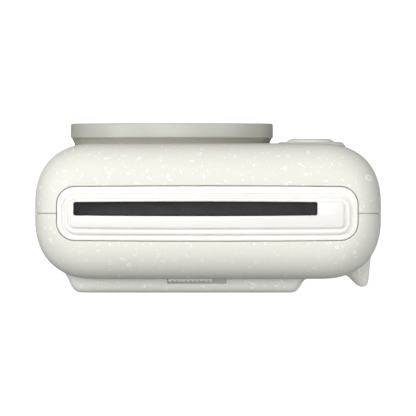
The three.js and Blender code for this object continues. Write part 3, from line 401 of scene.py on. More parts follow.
SHELL_COLOR = rgba(236, 236, 227)
SPECKLE_COLOR = rgba(255, 255, 255)
SPECKLES = [
    # cell, seed, radius and half length of a mark, its hollow part, and the share of cells that have one
    (2.9 * MM, 0.13, 0.21 * MM, 0.0, 0, 0.62),
    (4.4 * MM, 0.41, 0.15 * MM, 0.5 * MM, 0, 0.7),
    (6.5 * MM, 1.53, 0.42 * MM, 0.0, 0, 0.35),
    (9 * MM, 0.77, 0.17 * MM, 0.85 * MM, 0, 0.5),
    (10 * MM, 1.09, 0.85 * MM, 0.0, 0.55, 0.7),
]


def speckle_layer(nodes, normal, cell, seed, radius, half_length, hollow, share):
    """A mask of printed marks, one per Voronoi cell: dots, dashes or rings lying flat on the surface."""
    shifted = nodes.vector("ADD", nodes.position, (seed, seed * 1.7, seed * 2.3))
    voronoi = nodes.add("ShaderNodeTexVoronoi", feature="F1")
    voronoi.inputs["Scale"].default_value = 1 / cell
    nodes.link(shifted, voronoi.inputs["Vector"])
    away = nodes.vector("SUBTRACT", shifted, voronoi.outputs["Position"])
    across = nodes.flattened(away, normal)
    random = voronoi.outputs["Color"]
    lean = nodes.vector("SUBTRACT", random, (0.5, 0.5, 0.5))
    direction = nodes.vector("NORMALIZE", nodes.flattened(lean, normal))
    split = nodes.add("ShaderNodeSeparateColor")
    nodes.link(random, split.inputs["Color"])
    size = nodes.ramp(split.outputs["Red"], 0, 1, 0.55, 1.0)
    reach = nodes.math("MULTIPLY", size, half_length)
    along = nodes.vector("DOT_PRODUCT", across, direction, "Value")
    limited = nodes.math("MAXIMUM", nodes.math("MINIMUM", along, reach), nodes.math("MULTIPLY", reach, -1))
    offset = nodes.vector("SUBTRACT", across, nodes.scaled(direction, limited))
    distance = nodes.vector("LENGTH", offset, output="Value")
    outer = nodes.math("MULTIPLY", size, radius)
    soft = 0.10 * MM
    mask = nodes.ramp(nodes.math("SUBTRACT", distance, outer), -soft, soft, 1.0, 0.0)
    if hollow:
        inner = nodes.math("MULTIPLY", outer, hollow)
        mask = nodes.math(
            "MULTIPLY", mask, nodes.ramp(nodes.math("SUBTRACT", distance, inner), -soft, soft, 0.25, 1.0)
        )
    chosen = nodes.math("LESS_THAN", split.outputs["Green"], share)
    return nodes.math("MULTIPLY", mask, chosen)


def shell_plastic():
    """Warm off-white matte plastic with printed white dots, dashes and rings."""
    nodes = Nodes("shell_plastic", SHELL_COLOR[:3], 0.62)
    nodes.shader.inputs["Specular IOR Level"].default_value = 0.35
    normal = nodes.add("ShaderNodeTexCoord").outputs["Normal"]
    layers = [speckle_layer(nodes, normal, *speckle) for speckle in SPECKLES]
    mask = layers[0]
    for layer in layers[1:]:
        mask = nodes.math("MAXIMUM", mask, layer)
    drift = nodes.mix(nodes.noise(35), SHELL_COLOR, rgba(233, 233, 225))
    nodes.set("Base Color", nodes.mix(mask, drift, SPECKLE_COLOR))
    nodes.set("Roughness", nodes.ramp(mask, 0, 1, 0.62, 0.5))
    nodes.bump(nodes.noise(1900, 2), 0.02 * MM, 0.3, nodes.soft_edges(0.45 * MM))
    return nodes.material


WAVE_SCALE = math.pi / 10 / 2  # the wave texture's scale that gives half a band per unit


def clear_plastic(name, color, roughness, ribs=0.0):
    """Clear plastic. ribs is the pitch of the moulded ribs on it, or 0."""
    nodes = Nodes(name, color[:3], roughness, Transmission_Weight=0.92, IOR=1.49)
    nodes.set("Base Color", nodes.mix(nodes.noise(90), color, shaded(color, 0.96)))
    if ribs:
        wave = nodes.add("ShaderNodeTexWave", bands_direction="X")
        wave.inputs["Scale"].default_value = WAVE_SCALE / ribs
        nodes.link(nodes.position, wave.inputs["Vector"])
        nodes.bump(wave.outputs["Fac"], 0.15 * MM, 0.6)
    return nodes.material


def smoked_plastic():
    nodes = Nodes("smoked_plastic", rgba(28, 29, 32)[:3], 0.12, IOR=1.49, Coat_Weight=0.6)
    nodes.set("Base Color", nodes.mix(nodes.noise(120), rgba(26, 27, 30), rgba(34, 35, 39)))
    nodes.set("Roughness", nodes.ramp(nodes.noise(300), 0.3, 0.7, 0.08, 0.16))
    return nodes.material


def brushed_metal(name, color, stretch):
    """Metal with fine brushed streaks along the axis that stretch leaves small."""
    nodes = Nodes(name, color[:3], 0.3, 1.0)
    streaks = nodes.noise(900, 4, stretch)
    nodes.set("Base Color", nodes.mix(streaks, color, shaded(color, 0.8)))
    nodes.set("Roughness", nodes.ramp(streaks, 0.3, 0.7, 0.22, 0.4))
    nodes.bump(streaks, 0.01 * MM, 0.4, nodes.soft_edges(0.12 * MM))
    return nodes.material


def polished_mirror():
    nodes = Nodes("polished_mirror", rgba(225, 226, 228)[:3], 0.05, 1.0)
    nodes.set("Roughness", nodes.ramp(nodes.noise(400), 0.3, 0.7, 0.03, 0.07))
    return nodes.material


def coated_glass():
    """Lens glass with a faint purple-green coating."""
    nodes = Nodes("coated_glass", (0.9, 0.93, 0.95), 0.02, Transmission_Weight=1.0, IOR=1.6)
    rim = nodes.add("ShaderNodeLayerWeight")
    rim.inputs["Blend"].default_value = 0.35
    nodes.set("Base Color", nodes.mix(rim.outputs["Facing"], rgba(222, 214, 240), rgba(190, 226, 214)))
    return nodes.material


def circuit_board():
    """Green solder mask with paler copper tracks."""
    nodes = Nodes("circuit_board", rgba(28, 92, 52)[:3], 0.35)
    cells = nodes.add("ShaderNodeTexBrick")
    cells.inputs["Scale"].default_value = 260
    nodes.link(nodes.position, cells.inputs["Vector"])
    cells.inputs["Color1"].default_value = rgba(28, 92, 52)
    cells.inputs["Color2"].default_value = rgba(34, 104, 60)
    cells.inputs["Mortar"].default_value = rgba(70, 140, 90)
    nodes.set("Base Color", cells.outputs["Color"])
    nodes.bump(cells.outputs["Fac"], 0.03 * MM, 0.5)
    return nodes.material


MATERIALS = {
    "shell": shell_plastic(),
    "bezel": moulded_plastic("bezel_plastic", rgba(252, 250, 246), 0.45, edge=0.35 * MM),
    "ring": moulded_plastic("ring_plastic", rgba(197, 197, 187), 0.42, grain=1800, edge=0.3 * MM),
    # neck: the ring's plastic darkened with painted shade, standing in for the shadow the ring casts on the
    # collar
    "neck": moulded_plastic("ring_plastic_painted_shade", rgba(172, 169, 156), 0.5, grain=1800, edge=0.3 * MM),
    "black_plastic": moulded_plastic("black_plastic", rgba(38, 38, 37), 0.55, depth=0.04 * MM),
    "black_rubber": moulded_plastic("black_rubber", rgba(43, 43, 43), 0.7, grain=1400, depth=0.05 * MM),
    "clear_glass": clear_plastic("clear_plastic", rgba(236, 240, 242), 0.06),
    "smoked_window": smoked_plastic(),
    "steel": brushed_metal("brushed_steel", rgba(190, 191, 194), (1, 1, 0.05)),
    "mirror": polished_mirror(),
    "gear_plastic": moulded_plastic("gear_nylon", rgba(228, 223, 206), 0.5),
    "board": circuit_board(),
    "cell_wrap": moulded_plastic("cell_wrap", rgba(52, 84, 122), 0.3),
}
RIBBED_WINDOW = clear_plastic("ribbed_plastic", rgba(240, 242, 243), 0.12, ribs=0.9 * MM)
LENS_GLASS = coated_glass()


# ---- The carried-over CAD nodes ----
def dress_cad_nodes():
    """Every CAD node gets its slot's material, smooth shading and a fine bevel."""
    slots = {entry["node"]: entry["material_slot"] for entry in frame["record"]["subparts"]}
    for name, obj in frame["nodes"].items():
        obj.data.materials.clear()
        obj.data.materials.append(MATERIALS[slots[name]])
        smooth(obj, 32)
        bevel = obj.modifiers.new("edges", "BEVEL")
        bevel.width = 0.12 * MM
        bevel.segments = 2
        bevel.limit_method = "ANGLE"
        bevel.angle_limit = math.radians(40)
        bevel.harden_normals = True


# ---- Body shell and its panels ----
OUTLINE_STEPS = 20
CAP_STEPS = 16


def body_outline(inset_x, inset_y):
    points = []
    for quarter in range(4):
        sign_x = 1 if quarter in (0, 3) else -1
        sign_y = 1 if quarter < 2 else -1
        for step in range(OUTLINE_STEPS + 1):
            turn = math.pi / 2 * step / OUTLINE_STEPS
            angle = turn if quarter % 2 == 0 else math.pi / 2 - turn
            x = max(0.0, math.cos(angle)) ** (2 / PLAN_POWER)
            y = max(0.0, math.sin(angle)) ** (2 / PLAN_POWER)
            points.append((
                sign_x * (CORE_X + (PLAN_CORNER - inset_x) * x),
                CENTRE_Y + sign_y * (CORE_Y + (PLAN_CORNER - inset_y) * y),
            ))
    return points


def body_form(name, inset):
    """The whole body as one solid, drawn in by inset."""
    outlines = []
    for rounding, floor, direction in ((BASE_ROUND, inset, 1), (TOP_ROUND, TOP - inset, -1)):
        steps = range(CAP_STEPS, -1, -1) if direction == 1 else range(CAP_STEPS + 1)
        for step in steps:
            turn = math.pi / 2 * step / CAP_STEPS
            inset_x, inset_y = (inset + (size - inset) * (1 - math.cos(turn)) for size in rounding[:2])
            rise = (rounding[2] - inset) * (1 - math.sin(turn))
            outlines.append(at_height(body_outline(inset_x, inset_y), floor + direction * rise))
    return loft(name, outlines)


def panel_outline(side, plane, radius, grow=0.0):
    """The outline of a shell panel seen square on, grown all round."""
    low, high = ("left", "right") if plane == "xz" else ("front", "back")
    return rounded_rect(
        side[low] - grow, side[high] + grow, side["bottom"] - grow, side["top"] + grow,
        radius + grow, corner_steps=6, side_steps=1,
    )


SHELL_PANELS = {
    # node: plane of its outline, corner radius, the side it lies on, and its cover
    "viewfinder_window": ("xz", 1.5 * MM, "front", "front_cover"),
    "flash_window": ("xz", 2.5 * MM, "front", "front_cover"),
    "sensor_window": ("xz", 2.9 * MM, "front", "front_cover"),
    "viewfinder_eyepiece": ("xz", 1.5 * MM, "back", "rear_cover"),
    "counter_window": ("xz", 1.0 * MM, "back", "rear_cover"),
    "battery_door": ("yz", 1.5 * MM, "right_hand", "front_cover"),
}
PANEL_SPANS = {
    "front": ("y", -FAR, 0.0), "back": ("y", 5 * MM, FAR), "right_hand": ("x", -FAR, -43.5 * MM),
}
BATTERY_DOOR_LOW = 10.6 * MM  # below it is the battery door's hinge
BATTERY_SIDE = dict(extent("battery_door"), bottom=BATTERY_DOOR_LOW)


def panel_side(node):
    return BATTERY_SIDE if node == "battery_door" else extent(node)


def panel_cutter(node, grow):
    plane, radius, side, _ = SHELL_PANELS[node]
    axis, low, high = PANEL_SPANS[side]
    return prism("cutter", panel_outline(panel_side(node), plane, radius, grow), axis, low, high)


def hinge_rod(name, low, high, radius=HINGE_RADIUS):
    return rod(name, "x", (0, HINGE_Y, HINGE_Z), radius, low, high, 0.25 * MM)


DOOR_MIDDLE = 8 * MM
KNUCKLES = [(DOOR_MIDDLE + a * MM, DOOR_MIDDLE + b * MM) for a, b in ((-30, -18), (18, 30))]
EARS = [(DOOR_MIDDLE + a * MM, DOOR_MIDDLE + b * MM) for a, b in ((-38, -30.3), (-17.7, 17.7), (30.3, 38))]
BEZEL = extent("slot_bezel")
for side, step in (("left", 1), ("front", 1), ("right", -1), ("back", -1)):
    BEZEL[side] += step * BEZEL_LIP
BEZEL["left"] += BEZEL_TRIM
PIN_X, _, PIN_Z = centre_of(extent("battery_hinge_pin"))
BATTERY_KNUCKLE = (-5.5 * MM, -1.4 * MM)  # its front and back end, between two ears
BATTERY_KNUCKLE_RADIUS = 1 * MM
BATTERY_EAR = 1.1 * MM
SCREWS = [extent(f"base_screw_{number}") for number in (1, 2, 3, 4)]


def screw_cutters():
    cutters = []
    for screw in SCREWS:
        x = (screw["left"] + screw["right"]) / 2
        y = (screw["front"] + screw["back"]) / 2
        cutters.append(rod("cutter", "z", (x, y, 0), radius_of(screw) + GAP, -MM, 1.1 * MM))
        cutters.append(rod("cutter", "z", (x, y, 0), 1.2 * MM, 0, 4 * MM))
    return cutters


def bezel_outline(grow):
    return rounded_rect(
        BEZEL["left"] - grow, BEZEL["right"] + grow, BEZEL["front"] - grow, BEZEL["back"] + grow,
        6 * MM + grow, bow=0.3 * MM,
    )


def bezel_cutter():
    return prism("cutter", bezel_outline(BEZEL_GAP), "z", BEZEL["bottom"] - MM, FAR)


def bezier(points, steps):
    """Points of a cubic curve, from its start to its end."""
    curve = []
    for step in range(steps + 1):
        t = step / steps
        weights = ((1 - t) ** 3, 3 * t * (1 - t) ** 2, 3 * t * t * (1 - t), t ** 3)
        curve.append(tuple(sum(w * p[axis] for w, p in zip(weights, points)) for axis in (0, 1)))
    return curve


def thumb_rest():
    """The ridge behind the right thumb: one plan section that dies away into the body at both ends."""
    tip = (6.5 * MM - SIDE, DOOR["back"] - 1.95 * MM)
    foot = (12 * MM - SIDE, BODY_BACK - 1.3 * MM)
    inner_side = bezier([
        foot, (9.6 * MM - SIDE, BODY_BACK - 0.2 * MM), (8.6 * MM - SIDE, tip[1] - 0.3 * MM), tip,
    ], 12)
    outer_side = bezier([
        tip, (tip[0] - 1.5 * MM, tip[1]), (4.1 * MM - SIDE, tip[1] - 0.9 * MM),
        (4.05 * MM - SIDE, BODY_BACK + 0.1 * MM),
    ], 10)
    section = [(14 * MM - SIDE, BODY_BACK - 5.4 * MM)] + inner_side + outer_side[1:] + [
        (3.35 * MM - SIDE, BODY_BACK - 7 * MM), (2.7 * MM - SIDE, BODY_BACK - 9.1 * MM),
        (6.5 * MM - SIDE, BODY_BACK - 11 * MM),
    ]
    root = (8 * MM - SIDE, BODY_BACK - 7 * MM)
    bottom, top = TOP - 90.6 * MM, TOP - 28.6 * MM
    low_taper, high_taper = 16 * MM, 2.2 * MM
    least = 0.3  # the share of the section left at both ends, inside the body
    levels = [bottom + low_taper * step / 14 for step in range(15)]
    levels += [top - high_taper * (1 - step / 12) for step in range(13)]
    outlines = []
    for z in levels:
        rise = min(1.0, (z - bottom) / low_taper, (top - z) / high_taper)
        grown = least + (1 - least) * max(0.0, 1 - (1 - rise) ** 2.5) ** 0.4
        shrunk = [(root[0] + (x - root[0]) * grown, root[1] + (y - root[1]) * grown) for x, y in section]
        outlines.append(at_height(shrunk[::-1], z))
    return loft("thumb_rest", outlines)


LUG = {"y": 6 * MM, "half_y": 2.4 * MM, "half_z": 6 * MM, "z": 90 * MM, "floor": SIDE - 7.1 * MM}


def lug_block(side):
    wall = 1.5 * MM
    x = sorted((side * (LUG["floor"] - wall), side * (SIDE - MM)))
    return block(
        "lug", x[0], x[1], LUG["y"] - LUG["half_y"] - wall + GAP, LUG["y"] + LUG["half_y"] + wall,
        LUG["z"] - LUG["half_z"] - wall, LUG["z"] + LUG["half_z"] + wall,
    )


def lug_cutters(side):
    x = sorted((side * LUG["floor"], side * FAR))
    outline = rounded_rect(
        LUG["y"] - LUG["half_y"], LUG["y"] + LUG["half_y"],
        LUG["z"] - LUG["half_z"], LUG["z"] + LUG["half_z"], 0.8 * MM, side_steps=1,
    )
    bar = (side * (SIDE - 0.7 * MM), LUG["y"], LUG["z"])
    return [
        prism("cutter", outline, "x", x[0], x[1]),
        rod("cutter", "z", bar, 1.3 * MM, -LUG["half_z"] - MM, LUG["half_z"] + MM),
    ]


def door_frame():
    """The frame in the rear cover between the film chamber's mouth and the door's opening."""
    edge = 1.5 * MM
    ring = block(
        "frame", DOOR["left"] - edge, DOOR["right"] + edge, CHAMBER["back"] - MM, BODY_BACK - MM,
        DOOR_LOW - edge, DOOR["top"] + edge,
    )
    return boolean(ring, "INTERSECT", body_form("form", MM))


def parting_rim(name, inset, front):
    """A rim of the rear cover that reaches forward at the parting line, inset from the outside."""
    rim = boolean(body_form(name, inset), "DIFFERENCE", body_form("inside", WALL))
    return boolean(rim, "INTERSECT", block("slice", -FAR, FAR, front, PART_LINE + MM, -MM, FAR))


def cover_cutters(cover):
    """The cutters for the panels that lie in a cover, and for the base screws."""
    panels = [panel_cutter(node, GAP) for node, facts in SHELL_PANELS.items() if facts[3] == cover]
    return panels + screw_cutters()


def make_front_cover(shell):
    front = boolean(
        copy_of(shell, "front_shell"), "INTERSECT",
        block("half", -FAR, FAR, -FAR, PART_LINE - SEAM / 2, -MM, FAR),
    )
    rebate = boolean(
        body_form("rebate", WALL - TONGUE - GAP), "INTERSECT",
        block("slice", -FAR, FAR, PART_LINE - TONGUE_DEPTH - GAP, FAR, -MM, FAR),
    )
    boolean(
        front, "DIFFERENCE", rebate, bezel_cutter(),
        rod("cutter", "y", LENS_AXIS, COLLAR_RADIUS + GAP, -FAR, 0, segments=128),
        rod("cutter", "y", BUTTON_CENTRE, radius_of(PAD) + GAP, -FAR, 0, segments=96),
        *cover_cutters("front_cover"),
    )
    pin = (PIN_X, 0, PIN_Z)
    room = (BATTERY_KNUCKLE[0] - GAP, BATTERY_KNUCKLE[1] + GAP)
    boolean(
        front, "DIFFERENCE",
        rod("cutter", "y", pin, BATTERY_KNUCKLE_RADIUS + GAP, *room),
        block("cutter", PIN_X - 5 * MM, PIN_X + 2.2 * MM, *room, PIN_Z, BATTERY_DOOR_LOW),
    )
    boolean(
        front, "UNION",
        rod("ear", "y", pin, BATTERY_KNUCKLE_RADIUS, room[0] - BATTERY_EAR, room[0], 0.15 * MM),
        rod("ear", "y", pin, BATTERY_KNUCKLE_RADIUS, room[1], room[1] + BATTERY_EAR, 0.15 * MM),
    )
    return front


def make_rear_cover(shell):
    rear = boolean(shell, "INTERSECT", block("half", -FAR, FAR, PART_LINE + SEAM / 2, FAR, -MM, FAR))
    rear.name = "rear_shell"
    tongue = parting_rim("tongue", WALL - TONGUE, PART_LINE - TONGUE_DEPTH)
    seam_floor = parting_rim("seam_floor", SEAM_DEPTH, PART_LINE - SEAM / 2 + SEAM_FLOOR_GAP)
    rest = boolean(thumb_rest(), "DIFFERENCE", body_form("inside", WALL + 0.1 * MM))
    boolean(rear, "UNION", seam_floor, tongue, rest, lug_block(1), lug_block(-1), door_frame())
    door_opening = block(
        "cutter", DOOR["left"] - GAP, DOOR["right"] + GAP, 18.5 * MM, FAR,
        DOOR_LOW - GAP, DOOR["top"] + GAP,
    )
    chamber_room = block(
        "cutter", CHAMBER["left"] - GAP, CHAMBER["right"] + GAP, CHAMBER["front"], CHAMBER["back"] + GAP,
        CHAMBER["bottom"] - GAP, CHAMBER["top"] + GAP,
    )
    boolean(
        rear, "DIFFERENCE", bezel_cutter(), door_opening, chamber_room,
        *lug_cutters(1), *lug_cutters(-1), *cover_cutters("rear_cover"),
    )
    for low, high in KNUCKLES:
        boolean(
            rear, "DIFFERENCE",
            hinge_rod("cutter", low - GAP, high + GAP, HINGE_RADIUS + GAP),
            block("cutter", low - GAP, high + GAP, HINGE_Y - 1.3 * MM, FAR, HINGE_Z, DOOR_LOW),
        )
    boolean(rear, "UNION", *[hinge_rod("ear", low, high) for low, high in EARS])
    return rear


def build_battery_door(panel):
    """The panel with the knuckle of its hinge and the web between them."""
    door = boolean(
        panel, "UNION",
        rod("knuckle", "y", (PIN_X, 0, PIN_Z), BATTERY_KNUCKLE_RADIUS, *BATTERY_KNUCKLE, 0.15 * MM),
        block(
            "web", PIN_X - 0.6 * MM, PIN_X + 0.8 * MM, *BATTERY_KNUCKLE,
            PIN_Z, BATTERY_DOOR_LOW + 0.5 * MM,
        ),
    )
    piece(door, "battery_door", "shell", MATERIALS["shell"], "battery_door")


def build_shell():
    """The two covers, and the windows and battery door that are cut from the same shell."""
    shell = boolean(body_form("shell", 0), "DIFFERENCE", body_form("inside", WALL))
    panels = {}
    for node in SHELL_PANELS:
        panels[node] = boolean(copy_of(shell, node + "_panel"), "INTERSECT", panel_cutter(node, 0))
    piece(make_front_cover(shell), SHELL_BODY, "shell", MATERIALS["shell"], "front_cover")
    piece(make_rear_cover(shell), SHELL_BODY, "shell", MATERIALS["shell"], "rear_cover")
    for node in ("viewfinder_window", "sensor_window", "viewfinder_eyepiece", "counter_window"):
        slot = "clear_glass" if node in ("viewfinder_window", "counter_window") else "smoked_window"
        piece(panels[node], SHELL_BODY, slot, MATERIALS[slot], node)
    piece(panels["flash_window"], SHELL_BODY, "clear_glass", RIBBED_WINDOW, "flash_window")
    build_battery_door(panels["battery_door"])


# ---- Bezel, button, ring ----
SLOT = {"left": -37.5 * MM, "right": 46.1 * MM, "front": -1.96 * MM, "back": 2.68 * MM}
# How far each ramp lies inside the bezel's edge: left, right, front and back.
LOWER_RAMP = [inset * MM for inset in (2.4, 2.5, 3.2, 2.0)]
UPPER_RAMP = [inset * MM for inset in (4.6, 4.5, 4.9, 4.1)]


def slot_outline(grow):
    return rounded_rect(
        SLOT["left"] - grow, SLOT["right"] + grow, SLOT["front"] - grow, SLOT["back"] + grow,
        0.75 * MM + grow, bow=0.22 * MM,
    )


def terrace(low, high, insets, corner):
    """Outlines of one soft ramp with a shallow groove along its foot."""
    left, right, front, back = insets
    half_width = 0.45 * MM
    groove = 0.4 * MM

    def outline(grow):
        return rounded_rect(
            BEZEL["left"] + left - grow, BEZEL["right"] - right + grow,
            BEZEL["front"] + front - grow, BEZEL["back"] - back + grow,
            corner + grow, bow=0.25 * MM,
        )

    rings = [
        at_height(outline(half_width + 0.4 * MM), low),
        at_height(outline(half_width + 0.2 * MM), low - groove),
    ]
    steps = 6
    for step in range(steps + 1):
        t = step / steps
        eased = t * t * (3 - 2 * t)
        z = low - groove + (high - low + groove) * eased
        rings.append(at_height(outline(half_width * (1 - 2 * t)), z))
    return rings


def build_bezel():
    """Two ramps that rise to the slot on a flange, the lip under the covers and the chute below."""
    flange_top = TOP - 0.15 * MM
    step_one = TOP + 0.7 * MM
    lip_bottom, lip_top = 122.7 * MM, 123.5 * MM
    outlines = [
        at_height(bezel_outline(BEZEL_LIP), lip_bottom),
        at_height(bezel_outline(BEZEL_LIP), lip_top),
        at_height(bezel_outline(0), lip_top),
        at_height(bezel_outline(0), flange_top - 0.4 * MM),
        at_height(bezel_outline(-0.1 * MM), flange_top - 0.12 * MM),
        at_height(bezel_outline(-0.4 * MM), flange_top),
    ]
    outlines += terrace(flange_top, step_one, LOWER_RAMP, 4.2 * MM)
    outlines += terrace(step_one, BEZEL["top"], UPPER_RAMP, 1.7 * MM)
    bezel = loft("print_bezel", outlines)
    boolean(bezel, "UNION", prism("chute", slot_outline(1.6 * MM), "z", BEZEL["bottom"], lip_top))
    boolean(bezel, "DIFFERENCE", prism("cutter", slot_outline(0), "z", BEZEL["bottom"] - MM, FAR))
    piece(bezel, SHELL_BODY, "bezel", MATERIALS["bezel"], "slot_bezel")


def build_exit_flap():
    """A plate on a pin. Its front edge is round about the pin, so that it clears the slot's wall."""
    flap = extent("exit_flap")
    axis_y = -1.06 * MM
    thickness = flap["top"] - flap["bottom"]
    z = (flap["top"] + flap["bottom"]) / 2
    left, right = SLOT["left"] + 0.2 * MM, SLOT["right"] - 0.2 * MM
    nose = axis_y - SLOT["front"] - 0.02 * MM
    soft = 0.12 * MM
    outlines = []
    for share in (-1, -0.83, -0.5, 0, 0.5, 0.83, 1):
        rise = share * thickness / 2
        grow = -soft if abs(share) == 1 else 0
        outlines.append(at_height(rounded_rect(
            left - grow, right + grow, axis_y - math.sqrt(nose ** 2 - rise ** 2),
            flap["back"] + 0.25 * MM + grow, 0.35 * MM, bow=0.2 * MM,
        ), z + rise))
    plate = loft("print_flap", outlines)
    pin = rod("pin", "x", (0, axis_y, z), 0.4 * MM, flap["left"], flap["right"], segments=16)
    boolean(plate, "UNION", pin)
    piece(plate, "exit_flap", "black_rubber", MATERIALS["black_rubber"], "exit_flap")


def rounded_profile(points, radii, steps=4):
    """A closed lathe profile with each corner rounded off by its own radius, or left sharp at 0."""
    rounded = []
    for index, ((x, y), amount) in enumerate(zip(points, radii)):
        if not amount:
            rounded.append((x, y))
            continue
        here = Vector((x, y))
        before = (Vector(points[index - 1]) - here).normalized()
        after = (Vector(points[(index + 1) % len(points)]) - here).normalized()
        start = here + before * amount
        end = here + after * amount
        for step in range(steps + 1):
            t = step / steps
            point = start * (1 - t) ** 2 + here * (2 * t * (1 - t)) + end * t * t
            rounded.append((point.x, point.y))
    return rounded


def build_ring():
    """The turning ring and its spigot. A step behind the ring hides the gap before the neck."""
    front = RING["front"]
    back = front + RING_DEPTH
    bore = SPIGOT_RADIUS - 1.8 * MM
    barrel_bore = BARREL_RADIUS + GAP
    step_radius = RING_RADIUS - 0.35 * MM
    step_back = COLLAR["front"] - 0.06 * MM
    profile = [
        (barrel_bore, front), (RING_RADIUS, front), (RING_RADIUS, back),
        (step_radius, back), (step_radius, step_back), (SPIGOT_RADIUS, step_back),
        (SPIGOT_RADIUS, RING["back"]), (bore, RING["back"]),
        (bore, front + 1.2 * MM), (barrel_bore, front + 1.2 * MM),
    ]
    radii = [size * MM for size in (0.35, 0.75, 0.3, 0, 0, 0, 0.1, 0.1, 0, 0)]
    ring = lathe("turning_ring", rounded_profile(profile, radii, 6), "y", LENS_AXIS, 160)
    piece(ring, "lens_ring", "ring", MATERIALS["ring"], "lens_ring")


def build_collar():
    """The neck behind the ring, flared to the ring's width at its front. It wears the ring's plastic
    darkened with painted shade, for the shadow under the ring.
    """
    front = COLLAR["front"]
    bore = SPIGOT_RADIUS + GAP
    flare = bezier([
        (RING_RADIUS - 0.35 * MM, front), (RING_RADIUS - 0.7 * MM, front + 0.5 * MM),
        (COLLAR_RADIUS + 0.1 * MM, front + 1.3 * MM), (COLLAR_RADIUS, front + 3 * MM),
    ], 8)
    profile = [(bore, front)] + flare + [(COLLAR_RADIUS, COLLAR["back"]), (bore, COLLAR["back"])]
    collar = lathe("fixed_collar", profile, "y", LENS_AXIS, 160)
    # the collar's darker colour is painted shade from the ring's overhang, not a different plastic
    piece(collar, SHELL_BODY, "ring", MATERIALS["neck"], "lens_collar")


def build_barrel():
    """The sliding barrel, with three shallow grooves round it."""
    inner = BARREL_RADIUS - 1.6 * MM
    floor = BARREL_RADIUS - 0.25 * MM
    grooves = []
    for number in range(3):
        y = BARREL["front"] + (9 + 1.2 * number) * MM
        grooves += [
            (BARREL_RADIUS, y), (floor, y + 0.15 * MM),
            (floor, y + 0.45 * MM), (BARREL_RADIUS, y + 0.6 * MM),
        ]
    profile = [
        (inner, BARREL["front"]), (BARREL_RADIUS, BARREL["front"]), *grooves,
        (BARREL_RADIUS, BARREL["back"]), (inner, BARREL["back"]),
    ]
    radii = [0.2 * MM, 0.35 * MM] + [0] * (len(profile) - 2)
    barrel = lathe("sliding_barrel", rounded_profile(profile, radii), "y", LENS_AXIS, 160)
    piece(barrel, "lens_barrel", "black_plastic", MATERIALS["black_plastic"], "lens_barrel")


def dome_profile(radius, front, bulge, thickness, steps=14):
    """Profile of a lens that bulges to the front, with a flat back."""
    sphere = (radius ** 2 + bulge ** 2) / (2 * bulge)
    widest = math.asin(radius / sphere)
    curve = [
        (sphere * math.sin(widest * i / steps), front + sphere * (1 - math.cos(widest * i / steps)))
        for i in range(steps + 1)
    ]
    return curve + [(radius, front + thickness), (0, front + thickness)]


def build_lens_face():
    """The face plate, a shallow cone between two raised rims, with the front lens and the mirror in it."""
    plate = extent("lens_face_plate")
    lens = extent("front_lens")
    mirror = extent("selfie_mirror")
    radius = radius_of(plate)
    front, back = plate["front"], plate["back"]
    hole = radius_of(lens) + GAP
    profile = [
        (hole, front + 0.5 * MM), (hole + 0.9 * MM, front + 0.1 * MM), (hole + 1.8 * MM, front + 0.1 * MM),
        (hole + 2.4 * MM, front + 0.6 * MM), (radius - 2.2 * MM, front + 0.35 * MM),
        (radius - 1.6 * MM, front), (radius, front), (radius, back), (hole, back),
    ]
    radii = [size * MM for size in (0, 0.3, 0.3, 0.2, 0.2, 0.2, 0, 0, 0)]
    face = lathe("lens_face", rounded_profile(profile, radii), "y", LENS_AXIS, 160)
    mirror_centre = centre_of(mirror)
    mirror_room = rod("cutter", "y", mirror_centre, radius_of(mirror) + GAP, -FAR, 0, segments=64)
    boolean(face, "DIFFERENCE", mirror_room)
    piece(face, "lens_barrel", "black_plastic", MATERIALS["black_plastic"], "lens_face_plate")

    lens_profile = dome_profile(radius_of(lens), lens["front"], 1.6 * MM, 4 * MM)
    glass = lathe("front_glass", lens_profile, "y", LENS_AXIS, 96)
    piece(glass, "lens_barrel", "clear_glass", LENS_GLASS, "front_lens")
    mirror_profile = dome_profile(radius_of(mirror), mirror["front"], 0.9 * MM, 1.5 * MM)
    dome = lathe("self_portrait_mirror", mirror_profile, "y", mirror_centre, 96)
    piece(dome, "lens_barrel", "mirror", MATERIALS["mirror"], "selfie_mirror")


def build_button():
    """The round pad with a softened edge, and the slightly hollow button in its middle."""
    button = extent("shutter_button")
    pad_radius = radius_of(PAD)
    radius = radius_of(button)
    bore = radius + GAP
    profile = [
        (bore, PAD["front"]), (pad_radius - 1.1 * MM, PAD["front"]), (pad_radius, PAD["front"] + 1.5 * MM),
        (pad_radius, PAD["back"]), (bore, PAD["back"]),
    ]
    radii = [size * MM for size in (0.15, 0.8, 0.3, 0, 0)]
    plate = lathe("button_plate", rounded_profile(profile, radii), "y", BUTTON_CENTRE, 128)
    piece(plate, SHELL_BODY, "shell", MATERIALS["shell"], "button_pad")

    front, back = button["front"], button["back"]
    stem = 1.5 * MM
    dish = [(0, front + 0.25 * MM), (radius * 0.3, front + 0.2 * MM), (radius * 0.5, front + 0.06 * MM)]
    rim = bezier([
        (radius - 2.6 * MM, front), (radius - 1.5 * MM, front),
        (radius - 0.1 * MM, front + 0.5 * MM), (radius, front + 1.5 * MM),
    ], 10)
    rear = [(radius, back - MM), (stem, back - MM), (stem, back), (0, back)]
    cap = lathe("release_button", dish + rim + rear, "y", BUTTON_CENTRE, 128)
    piece(cap, "shutter_button", "bezel", MATERIALS["bezel"], "shutter_button")


